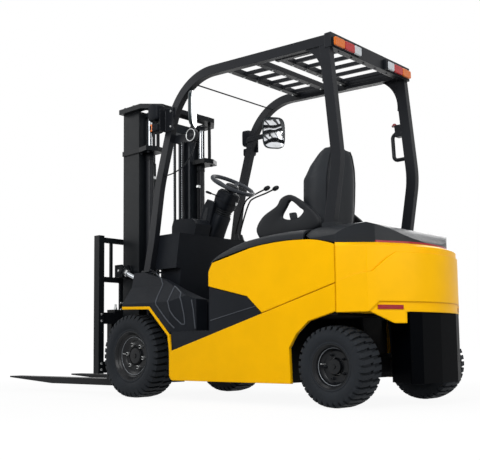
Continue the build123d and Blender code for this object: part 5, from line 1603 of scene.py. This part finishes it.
@dataclass
class Mirrors:
    """The two mirrors: cases with convex glasses, the left one on a round joint with a lead beside it."""

    x: float = -0.498
    y: float = 0.441
    low: float = 1.866
    tall: float = 0.248
    wide: float = 0.180
    joint_z: float = 1.806
    inner_y: float = 0.404

    def case(self, side: int) -> tuple[Shape, Shape]:
        """Case and glass, drawn in the mirror's frame and set up at its place; the glass bulges by 4 mm.

        Args:
            side: 1 for the left mirror, -1 for the right.

        Returns:
            The case and the glass.
        """
        half_u, half_v = self.wide / 2, self.tall / 2
        rings = [np.column_stack([soft_box(half_u * s, half_v * (1 - (1 - s) * 0.75), 4.0, 48),
                                  np.full(48, z)])
                 for z, s in ((-0.016, 0.93), (-0.0158, 0.985), (-0.012, 1.0), (-0.002, 1.0), (0.007, 0.95),
                              (0.013, 0.84), (0.016, 0.66))]
        shell = skin(np.stack(rings))
        share = np.array([1.0, 0.8, 0.6, 0.4, 0.2, 0.02])
        glass = [np.column_stack([soft_box(half_u * 0.92 * s, half_v * 0.94 * s, 4.0, 48),
                                  np.full(48, -0.0162 - 0.004 * (1 - s**2))]) for s in share]
        back = np.column_stack([soft_box(half_u * 0.92, half_v * 0.94, 4.0, 48), np.full(48, -0.012)])
        pane = skin(np.stack([back] + glass))
        turn = side * math.atan2(self.y, 0.652)
        origin = (fore(self.x), side * self.y, self.low + half_v)
        across, out = (-math.sin(turn), math.cos(turn), 0), (math.cos(turn), math.sin(turn), 0)
        return posed(shell, origin, across, out), posed(pane, origin, across, out)

    def build(self) -> None:
        """Makes both mirrors, the arms, the joint and the lead."""
        left_case, left_glass = self.case(1)
        right_case, right_glass = self.case(-1)
        build("mirror_cases", left_case + right_case, "truck", "mirror_case", ("mirrors",), sharp=50)
        build("mirror_glasses", left_glass + right_glass, "truck", "mirror_glass", sharp=60)
        x = fore(self.x)
        disc = turned([(-0.016, 0.0), (-0.016, 0.046), (0.0, 0.048), (0.010, 0.048), (0.014, 0.044),
                       (0.008, 0.034), (0.006, 0.022), (0.010, 0.016), (0.014, 0.012), (0.014, 0.0)],
                      (x, self.y, self.joint_z), LEFT, 40)
        stem = turned([(0.0, 0.0), (0.0, 0.012), (0.04, 0.012), (0.075, 0.016), (0.075, 0.0)],
                      (x, self.y, self.joint_z + 0.03), UP, 24)
        arm = side_view([(-0.236, 1.858), (-0.225, 1.802), (-0.300, 1.790), (-0.420, 1.780),
                         (self.x + 0.010, 1.776), (self.x - 0.012, 1.806), (self.x + 0.010, 1.838),
                         (-0.400, 1.842)])
        plate = slab(arm, self.inner_y - 0.009, self.inner_y - 0.0005, 0.002, Way.Y)
        boss = turned([(0.0, 0.0), (0.0, 0.033), (0.024, 0.030), (0.026, 0.0)],
                      (x, self.inner_y - 0.002, self.joint_z), LEFT, 32)
        stub = side_view([(-0.262, 1.990), (-0.252, 1.952), (self.x + 0.010, 1.952), (self.x - 0.004, 1.971),
                          (self.x + 0.010, 1.990)])
        right_arm = slab(stub, -self.inner_y + 0.0005, -self.inner_y + 0.009, 0.002, Way.Y)
        right_boss = turned([(0.0, 0.0), (0.0, 0.020), (0.026, 0.018), (0.030, 0.0)],
                            (x + 0.018, -self.inner_y + 0.006, 1.971), RIGHT, 24)
        build("mirror_arms", disc + stem + plate + boss + right_arm + right_boss, "truck", "black_gloss",
              sharp=40)
        turn = np.linspace(0, 2 * np.pi, 12, endpoint=False)
        bead = np.column_stack([0.0165 + 0.0035 * np.sin(turn), 0.0415 + 0.0035 * np.cos(turn)])
        ring = turned(bead, (x, self.y, self.joint_z), LEFT, 48, closed=True)
        build("mirror_joint_ring", ring, "truck", "nut_zinc", sharp=60)
        self.lead()

    def lead(self) -> None:
        """The lead from the joint down into the pillar: an open spline that hangs in one bend."""
        start = (fore(self.x) - 0.002, 0.412, self.joint_z - 0.040)
        route = [start, (start[0] + 0.004, 0.414, 1.735), (fore(-0.478), 0.420, 1.690),
                 (fore(-0.440), 0.424, 1.640), (fore(-0.385), 0.428, 1.600), (fore(-0.320), 0.430, 1.577),
                 (fore(-0.250), 0.430, 1.566), (fore(-0.195), 0.430, 1.566)]
        curve = bpy.data.curves.new("mirror_lead", "CURVE")
        curve.dimensions, curve.bevel_depth, curve.bevel_resolution = "3D", 0.0045, 3
        spline = curve.splines.new("NURBS")
        spline.points.add(len(route) - 1)
        for point, place in zip(spline.points, route):
            point.co = (*place, 1.0)
        spline.order_u = 3
        spline.use_endpoint_u = True
        piece = bpy.data.objects.new("mirror_lead", curve)
        bpy.context.scene.collection.objects.link(piece)
        curve.materials.append(PAINT["grip_rubber"])
        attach(piece, "truck")


@dataclass
class GuardTrim:
    """Small parts of the overhead guard: grille bolts, pillar feet and their bolts, the handle's button."""

    fall: float = 66 / 1260
    rear: float = -1.640
    members: tuple[float, ...] = (-0.775, -1.030, -1.205)
    bars: int = 6
    inner_y: float = 0.404

    def build(self) -> None:
        """Bolts under each bar's end, caps on the pillar feet and the button."""
        across = self.inner_y * ((2 * np.arange(self.bars) + 1) / self.bars - 1)
        x = np.array(self.members)
        z = 2.172 + (x - self.rear) * self.fall - 0.005
        places = np.stack([np.repeat(fore(0) + x, self.bars), np.tile(across, len(x)),
                           np.repeat(z, self.bars)], -1)
        build("grille_bolts", prisms(places, DOWN, 0.015, 0.008), "truck", "nut_zinc")
        rear_rows = np.stack([np.full(self.bars, fore(self.rear) - 0.020), across,
                              np.full(self.bars, 2.1225)], -1)
        build("grille_rear_bolts", prisms(rear_rows, DOWN, 0.012, 0.005), "truck", "bolt_black")
        feet = blocks([(fore(-0.078), 0.422, 0.8845)], [(fore(0.004), 0.468, 0.8985)]).both_sides()
        build("pillar_feet", feet, "truck", "black_gloss", bevel=0.003)
        foot_bolts = prisms([(fore(-0.066), 0.4365, 0.898)], UP, 0.019, 0.010)
        build("pillar_foot_bolts", foot_bolts.both_sides(), "truck", "bolt_black")
        gaiter = turned([(0.0, 0.0), (0.0, 0.019), (0.006, 0.020), (0.010, 0.017), (0.012, 0.012),
                         (0.017, 0.011), (0.019, 0.008), (0.019, 0.0)],
                        (fore(-1.574), -0.430, 1.8275), (0.15, 0, 1), 24)
        build("handle_button", gaiter, "truck", "reflector_red", sharp=40)


@dataclass
class MastWork:
    """What is fixed to the mast: leaf chains and wheels, cylinder heads, pipes, bolts, pins and caps."""

    chain_x: float = 0.264
    chain_y: float = 0.155
    wheel_z: float = 2.040
    wheel_radius: float = 0.042
    chain_low: float = 0.640
    pitch: float = 0.019
    cylinder_x: float = 0.131
    cylinder_y: float = 0.274
    pin_x: float = 0.286
    pin_z: float = 0.922

    def chains(self) -> None:
        """Laced link plates: four columns of boxes, each second one half a lap up, with a pin a joint."""
        count = int((self.wheel_z - self.chain_low) / self.pitch)
        rise = self.chain_low + np.arange(count) * self.pitch
        lows, highs, pins = [], [], []
        for side in (1, -1):
            for run in (-1, 1):
                x = fore(self.chain_x + run * (self.wheel_radius + 0.005))
                for column in range(4):
                    y = side * self.chain_y + (column - 1.5) * 0.0056
                    shift = self.pitch / 2 * (column % 2)
                    base = np.column_stack([np.full(count, x), np.full(count, y), rise + shift])
                    lows.append(base + np.array([-0.0058, -0.0022, 0.0006]))
                    highs.append(base + np.array([0.0058, 0.0022, self.pitch - 0.0006]))
                pins.append(np.column_stack([np.full(count, x), np.full(count, side * self.chain_y - 0.0125),
                                             rise]))
        plates = blocks(np.vstack(lows), np.vstack(highs))
        studs = prisms(np.vstack(pins), LEFT, 0.0075, 0.025)
        angle = np.linspace(0, np.pi, 17)
        radius = self.wheel_radius + 0.005
        ahead, up = fore(self.chain_x) + radius * np.cos(angle), self.wheel_z + radius * np.sin(angle)
        bends = joined(
            swept(np.stack([ahead, np.full(17, side * self.chain_y), up], -1),
                  soft_box(0.0058, 0.0118, 8.0, 16))
            for side in (1, -1)
        )
        build("chain_links", plates + bends, "inner_mast_body", "chain_steel", ("lift_chains",), sharp=30)
        build("chain_pins", studs, "inner_mast_body", "plated_rod")
        groove = np.array([(-0.016, 0.0), (-0.016, 0.050), (-0.0125, 0.050), (-0.0122, 0.0415),
                           (0.0122, 0.0415), (0.0125, 0.050), (0.016, 0.050), (0.016, 0.0)])
        wheels = turned(groove, (fore(self.chain_x), self.chain_y, self.wheel_z), LEFT, 40).both_sides()
        build("chain_wheels", wheels, "inner_mast_body", "fork_black", sharp=30)
        hub = turned([(0.0, 0.0), (0.0, 0.017), (0.006, 0.016), (0.007, 0.010), (0.010, 0.009), (0.010, 0.0)],
                     (fore(self.chain_x), self.chain_y - 0.016, self.wheel_z), RIGHT, 20).both_sides()
        build("chain_wheel_pins", hub, "inner_mast_body", "nut_zinc", sharp=30)

    def cylinders(self) -> None:
        """Gland nuts on the barrels' heads, feet under them, and the nuts over the rods."""
        x, y = fore(self.cylinder_x), self.cylinder_y
        head = turned([(1.758, 0.0195), (1.758, 0.0335), (1.764, 0.0345), (1.800, 0.0345), (1.806, 0.032),
                       (1.8115, 0.030), (1.8115, 0.0195)], (x, y, 0), UP, 36, closed=True)
        foot = turned([(0.166, 0.020), (0.166, 0.034), (0.200, 0.034), (0.206, 0.031), (0.206, 0.020)],
                      (x, y, 0), UP, 36, closed=True)
        build("cylinder_glands", (head + foot).both_sides(), "outer_mast_body", "fork_black", sharp=30)
        cap = prisms([(x, y, 2.126), (x, -y, 2.126)], UP, 0.040, 0.006)
        build("rod_nuts", cap, "inner_mast_body", "nut_zinc")

    def pipes(self) -> None:
        """Rigid oil pipes up each cylinder, with elbows at the ends."""
        x, y = fore(self.cylinder_x) - 0.012, self.cylinder_y - 0.046
        corners = np.array([(x + 0.012, y + 0.016, 0.180), (x + 0.004, y + 0.004, 0.190), (x, y, 0.215),
                            (x, y, 0.80), (x, y, 1.30), (x, y, 1.700), (x + 0.004, y + 0.004, 1.735),
                            (x + 0.012, y + 0.014, 1.745)])
        pipe = swept(smooth_path(corners, 8), oval(0.0065, steps=10), (0, 1, 0.02))
        build("lift_pipes", pipe.both_sides(), "outer_mast_body", "fork_black", sharp=60)
        clips = blocks([(x - 0.009, y - 0.009, z) for z in (0.45, 0.85, 1.25, 1.62)],
                       [(x + 0.009, y + 0.022, z + 0.022) for z in (0.45, 0.85, 1.25, 1.62)])
        build("pipe_clips", clips.both_sides(), "outer_mast_body", "nut_zinc", bevel=0.002)

    def fixings(self) -> None:
        """Bolts in the yoke and the side brackets, and the caps over the tilt pins."""
        above = ((0.300, 0.372), (0.200, 0.372), (0.020, 0.240), (0.020, 0.120))
        below = ((0.160, 0.330), (0.075, 0.340))
        top = prisms([(fore(x), y, 2.170) for x, y in above], UP, 0.026, 0.012)
        under = prisms([(fore(x), y, 1.812) for x, y in below], DOWN, 0.022, 0.010)
        build("yoke_bolts", (top + under).both_sides(), "outer_mast_body", "bolt_black")
        cap = turned([(0.0, 0.0), (0.0, 0.026), (0.006, 0.026), (0.009, 0.022), (0.009, 0.0)],
                     (fore(self.pin_x), 0.4342, self.pin_z), LEFT, 32)
        bolts = prisms([(fore(self.pin_x), 0.4427, self.pin_z)], LEFT, 0.020, 0.009)
        build("tilt_pin_caps", cap.both_sides(), "outer_mast_body", "fork_black", sharp=30)
        build("tilt_pin_bolts", bolts.both_sides(), "outer_mast_body", "nut_zinc")

    def tilt(self) -> None:
        """Gland rings on the tilt barrels and lock nuts behind the rods' eyes."""
        foot, eye = np.array([fore(-0.2663), 0.0, 0.6876]), np.array([fore(self.pin_x), 0.0, self.pin_z])
        way = unit(eye - foot)
        ring = turned([(0.196, 0.0185), (0.196, 0.0385), (0.200, 0.0400), (0.214, 0.0400), (0.219, 0.036),
                       (0.223, 0.030), (0.223, 0.0185)], tuple(foot + np.array([0, 0.400, 0])), tuple(way),
                       36,
                      closed=True)
        build("tilt_glands", ring.both_sides(), "tilt_barrel_body", "fork_black", sharp=30)
        nut = turned([(-0.062, 0.0172), (-0.062, 0.0265), (-0.058, 0.028), (-0.040, 0.028), (-0.036, 0.0265),
                      (-0.036, 0.0172)], tuple(eye + np.array([0, 0.400, 0])), tuple(way), 6, closed=True)
        build("tilt_lock_nuts", nut.both_sides(), "tilt_rod_body", "nut_zinc", sharp=30)

    def load_end(self) -> None:
        """Hooks, latches and bolts on the carriage, the backrest and the forks."""
        front = 0.445
        hooks = blocks([(fore(front) - 0.040, 0.263, 0.612)], [(fore(front) + 0.002, 0.385, 0.640)])
        build("fork_hooks", hooks.both_sides(), "carriage_body", "fork_black", bevel=0.004)
        latch = turned([(0.0, 0.0), (0.0, 0.013), (0.020, 0.013), (0.024, 0.009), (0.042, 0.009),
                        (0.046, 0.006), (0.047, 0.0)], (fore(0.470), 0.324, 0.639), UP, 20)
        build("fork_latches", latch.both_sides(), "carriage_body", "nut_zinc", sharp=30)
        feet = prisms([(fore(0.4235), y, z) for y in (0.290, 0.310) for z in (0.640, 0.690)], BACK, 0.020,
                      0.010)
        bolts = prisms([(fore(0.393), 0.520, z) for z in (0.190, 0.235, 0.550, 0.600)], BACK, 0.020, 0.010)
        build("backrest_bolts", (feet + bolts).both_sides(), "carriage_body", "nut_zinc")

    def build(self) -> None:
        """Makes the mast's small parts."""
        self.chains()
        self.cylinders()
        self.pipes()
        self.fixings()
        self.tilt()
        self.load_end()


@dataclass
class Mouldings:
    """Ribs on the front fenders, treads on the step inserts and creases behind them; ribs and creases are
    lighter grey, a painted highlight along them.
    """

    skin_y: float = 0.589

    def face(self, spots: np.ndarray) -> np.ndarray:
        """Places on the fender's outer side: y is the least of the skin, the leaning top and the rear cut.

        Args:
            spots: (n, 2) of x from the front axle and z.

        Returns:
            The places as (n, 3).
        """
        x, z = spots[:, 0], spots[:, 1]
        lean = np.where(z < 0.780, 0.600 - (z - 0.640) * 100 / 140, 0.500 - (z - 0.780) * 25 / 115)
        rear = 0.590 - (-0.415 - x) / 0.221 * 0.042
        y = np.minimum(np.minimum(self.skin_y, np.where(z > 0.640, lean, 1.0)),
                       np.where(x < -0.415, rear, 1.0))
        return np.stack([fore(0) + x, y, z], -1)

    def rib(self, corners: list[tuple[float, float]], radius: float = 0.0045) -> Shape:
        """A rounded ridge along straight runs between the corners, half sunk in the fender.

        Args:
            corners: x from the front axle and z of each.
            radius: the ridge's half width.

        Returns:
            The ridge on the left fender.
        """
        spots = np.array(corners)
        reach = np.concatenate([[0.0], np.cumsum(np.linalg.norm(np.diff(spots, axis=0), axis=1))])
        even = np.arange(0.0, reach[-1], 0.008)
        line = np.stack([np.interp(even, reach, spots[:, 0]), np.interp(even, reach, spots[:, 1])], -1)
        return swept(self.face(line), oval(radius, steps=8), (0.3, 1, 0.2))

    def build(self) -> None:
        """Makes the ribs and lines on both sides."""
        ribs = self.rib([(-0.171, 0.868), (-0.235, 0.826), (-0.262, 0.780), (-0.272, 0.700), (-0.290, 0.638),
                         (-0.380, 0.548), (-0.468, 0.470)])
        ribs += self.rib([(-0.394, 0.764), (-0.440, 0.742), (-0.494, 0.712), (-0.516, 0.660), (-0.540, 0.560),
                          (-0.546, 0.500), (-0.520, 0.500), (-0.460, 0.550), (-0.425, 0.595), (-0.405, 0.660),
                          (-0.396, 0.740), (-0.398, 0.762)])
        ribs += self.rib([(-0.600, 0.660), (-0.612, 0.600), (-0.628, 0.470)])
        # The ribs are lighter grey than the fender: a painted highlight along each ridge.
        build("fender_ribs", ribs.both_sides(), "truck", "rib_highlight_moulding", sharp=60)
        tread = blocks([(fore(-0.480 - 0.034 * i), 0.430, 0.4515) for i in range(9)],
                       [(fore(-0.466 - 0.034 * i), 0.572, 0.4555) for i in range(9)])
        build("step_treads", tread.both_sides(), "truck", "grip_rubber", bevel=0.0015)
        # The creases are lighter grey as well: a painted highlight line.
        line = smooth_path(np.array([(-0.800, 0.516), (-0.930, 0.542), (-1.060, 0.568), (-1.180, 0.591)]), 4)
        crease = swept(np.stack([fore(0) + line[:, 0], np.full(len(line), 0.5845), line[:, 1]], -1),
                       oval(0.003, steps=8), (0.2, 1, 0))
        build("insert_creases", crease.both_sides(), "truck", "rib_highlight_moulding", sharp=60)


@dataclass
class CadNodes:
    """The CAD nodes that keep their shape and only get a finish."""

    def build(self) -> None:
        """Gives every CAD node with a finish its material."""
        for finish, names in NODE_FINISHES.items():
            for name in names:
                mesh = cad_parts[name].data
                mesh.materials.clear()
                mesh.materials.append(PAINT[finish])
                LOG.info("%s finished as %s", name, finish)


@dataclass(frozen=True)
class SoftLamp:
    """A square soft lamp that looks at its target; its power is in watts."""

    name: str
    place: tuple[float, float, float]
    target: tuple[float, float, float]
    size: float
    power: float

    def build(self) -> None:
        """Adds the lamp."""
        data = bpy.data.lights.new(self.name, "AREA")
        data.shape, data.size, data.energy = "SQUARE", self.size, self.power
        lamp = bpy.data.objects.new(self.name, data)
        lamp.location = self.place
        lamp.rotation_euler = (Vector(self.target) - Vector(self.place)).to_track_quat("-Z", "Y").to_euler()
        bpy.context.scene.collection.objects.link(lamp)


@dataclass
class Studio:
    """A pale floor that runs to a white horizon, soft lamps and the camera at the photograph's angle."""

    camera_place: tuple[float, float, float] = (-4.230, 4.259, 0.345)
    right: tuple[float, float, float] = (-0.73348, -0.67963, -0.00995)
    upward: tuple[float, float, float] = (-0.07382, 0.06509, 0.99515)
    ahead: tuple[float, float, float] = (0.67569, -0.73066, 0.09791)
    focal_share: float = 803.48 / 480
    shift: tuple[float, float] = (0.0203, 0.0798)
    sensor: float = 36.0
    room_light: float = 0.24
    floor_reach: float = 30.0
    floor_white: float = 0.86
    floor_glow: float = 1.08
    fade: tuple[float, float] = (2.0, 7.0)
    lamps: tuple[SoftLamp, ...] = (
        SoftLamp("key", (-2.8, 4.6, 3.4), (-0.6, 0, 0.8), 3.0, 200),
        SoftLamp("tail", (-6.0, -0.4, 2.4), (-0.8, 0, 0.9), 2.4, 92),
        SoftLamp("top", (-0.4, 0.6, 5.2), (-0.4, 0, 1.0), 3.0, 62),
        SoftLamp("front", (4.2, 3.0, 3.0), (0.4, 0, 0.9), 2.6, 45),
        SoftLamp("fill", (1.2, -5.0, 3.0), (-0.4, 0, 0.8), 3.0, 120),
    )

    def camera(self) -> None:
        """Places the camera; its columns are the picture's right and up and the way back."""
        data = bpy.data.cameras.new("camera")
        data.sensor_width, data.lens = self.sensor, self.sensor * self.focal_share
        data.shift_x, data.shift_y = self.shift
        data.clip_end = 100
        camera = bpy.data.objects.new("camera", data)
        turn = Matrix([self.right, self.upward, tuple(-v for v in self.ahead)]).transposed()
        camera.matrix_world = Matrix.Translation(self.camera_place) @ turn.to_4x4()
        bpy.context.scene.collection.objects.link(camera)
        bpy.context.scene.camera = camera

    @staticmethod
    def maths(
        tree: bpy.types.NodeTree,
        operation: str,
        first: bpy.types.NodeSocket,
        second: "bpy.types.NodeSocket | float",
    ) -> bpy.types.NodeSocket:
        """Adds one Math node.

        Args:
            tree: the nodes that it joins.
            operation: what it does.
            first: its first term.
            second: its second term.

        Returns:
            The result's socket.
        """
        node = tree.nodes.new("ShaderNodeMath")
        node.operation = operation
        tree.links.new(first, node.inputs[0])
        if isinstance(second, float):
            node.inputs[1].default_value = second
        else:
            tree.links.new(second, node.inputs[1])
        return node.outputs[0]

    def seen_as(
        self,
        tree: bpy.types.NodeTree,
        lit: bpy.types.NodeSocket,
        shown: bpy.types.NodeSocket,
        share: "bpy.types.NodeSocket | float",
    ) -> bpy.types.NodeSocket:
        """Mixes a share of another shader in, for camera rays and what shows in metal and through glass.

        Args:
            tree: the nodes that both shaders are in.
            lit: what every other ray meets.
            shown: what the camera meets.
            share: how much of it, from 0 to 1.

        Returns:
            The mixed shader's socket.
        """
        rays = tree.nodes.new("ShaderNodeLightPath").outputs
        seen = self.maths(tree, "MAXIMUM", rays["Is Camera Ray"], rays["Is Transmission Ray"])
        direct = self.maths(tree, "MAXIMUM", seen, rays["Is Glossy Ray"])
        mixed = tree.nodes.new("ShaderNodeMixShader")
        for index, socket in enumerate((self.maths(tree, "MULTIPLY", direct, share), lit, shown)):
            tree.links.new(socket, mixed.inputs[index])
        return mixed.outputs[0]

    def world(self) -> None:
        """A dim grey room that the camera sees as white."""
        world = bpy.data.worlds.new("studio")
        bpy.context.scene.world = world
        world.use_nodes = True
        tree = world.node_tree
        lit = tree.nodes["Background"]
        lit.inputs["Color"].default_value = (0.90, 0.95, 1.0, 1)
        lit.inputs["Strength"].default_value = self.room_light
        white = tree.nodes.new("ShaderNodeBackground")
        white.inputs["Color"].default_value = (1, 1, 1, 1)
        mixed = self.seen_as(tree, lit.outputs[0], white.outputs[0], 1.0)
        tree.links.new(mixed, tree.nodes["World Output"].inputs["Surface"])

    def floor(self) -> None:
        """A plane under the truck that keeps a faint shadow and fades into the white round it."""
        mesh = bpy.data.meshes.new("floor")
        reach = self.floor_reach
        corners = [(-reach, -reach, 0), (reach, -reach, 0), (reach, reach, 0), (-reach, reach, 0)]
        mesh.from_pydata(corners, [], [(0, 1, 2, 3)])
        floor = bpy.data.objects.new("floor", mesh)
        bpy.context.scene.collection.objects.link(floor)
        shader = Shader("floor")
        grain = shader.noise(40.0, 4.0)
        shader.set(Base_Color=shader.mix(grain, (0.44, 0.44, 0.44, 1), (0.48, 0.48, 0.48, 1)), Roughness=0.9,
                   Specular_IOR_Level=0.0)
        white = shader.tree.nodes.new("ShaderNodeEmission")
        white.inputs["Strength"].default_value = self.floor_glow
        away = (shader.axis(0) ** 2.0 + shader.axis(1) ** 2.0) ** 0.5
        share = away.step(*self.fade) * (1 - self.floor_white) + self.floor_white
        shown = self.seen_as(shader.tree, shader.surface.outputs[0], white.outputs[0], share.socket)
        shader.tree.links.new(shown, shader.tree.nodes["Material Output"].inputs["Surface"])
        mesh.materials.append(shader.material)

    def build(self) -> None:
        """Sets the studio up."""
        self.camera()
        self.world()
        self.floor()
        for lamp in self.lamps:
            lamp.build()
        bpy.context.scene.view_settings.view_transform = "Standard"


def main() -> None:
    """Builds the studio and the truck's parts in order."""
    logging.basicConfig(level=logging.INFO, format="%(message)s")
    for part in (Studio(), Mirrors(), CadNodes(), Wheels(), Hood(), Seat(), Helm(), Lamps(), GuardTrim(),
                 MastWork(), Mouldings()):
        part.build()
        LOG.info("built %s", type(part).__name__)


if __name__ == "__main__":
    main()
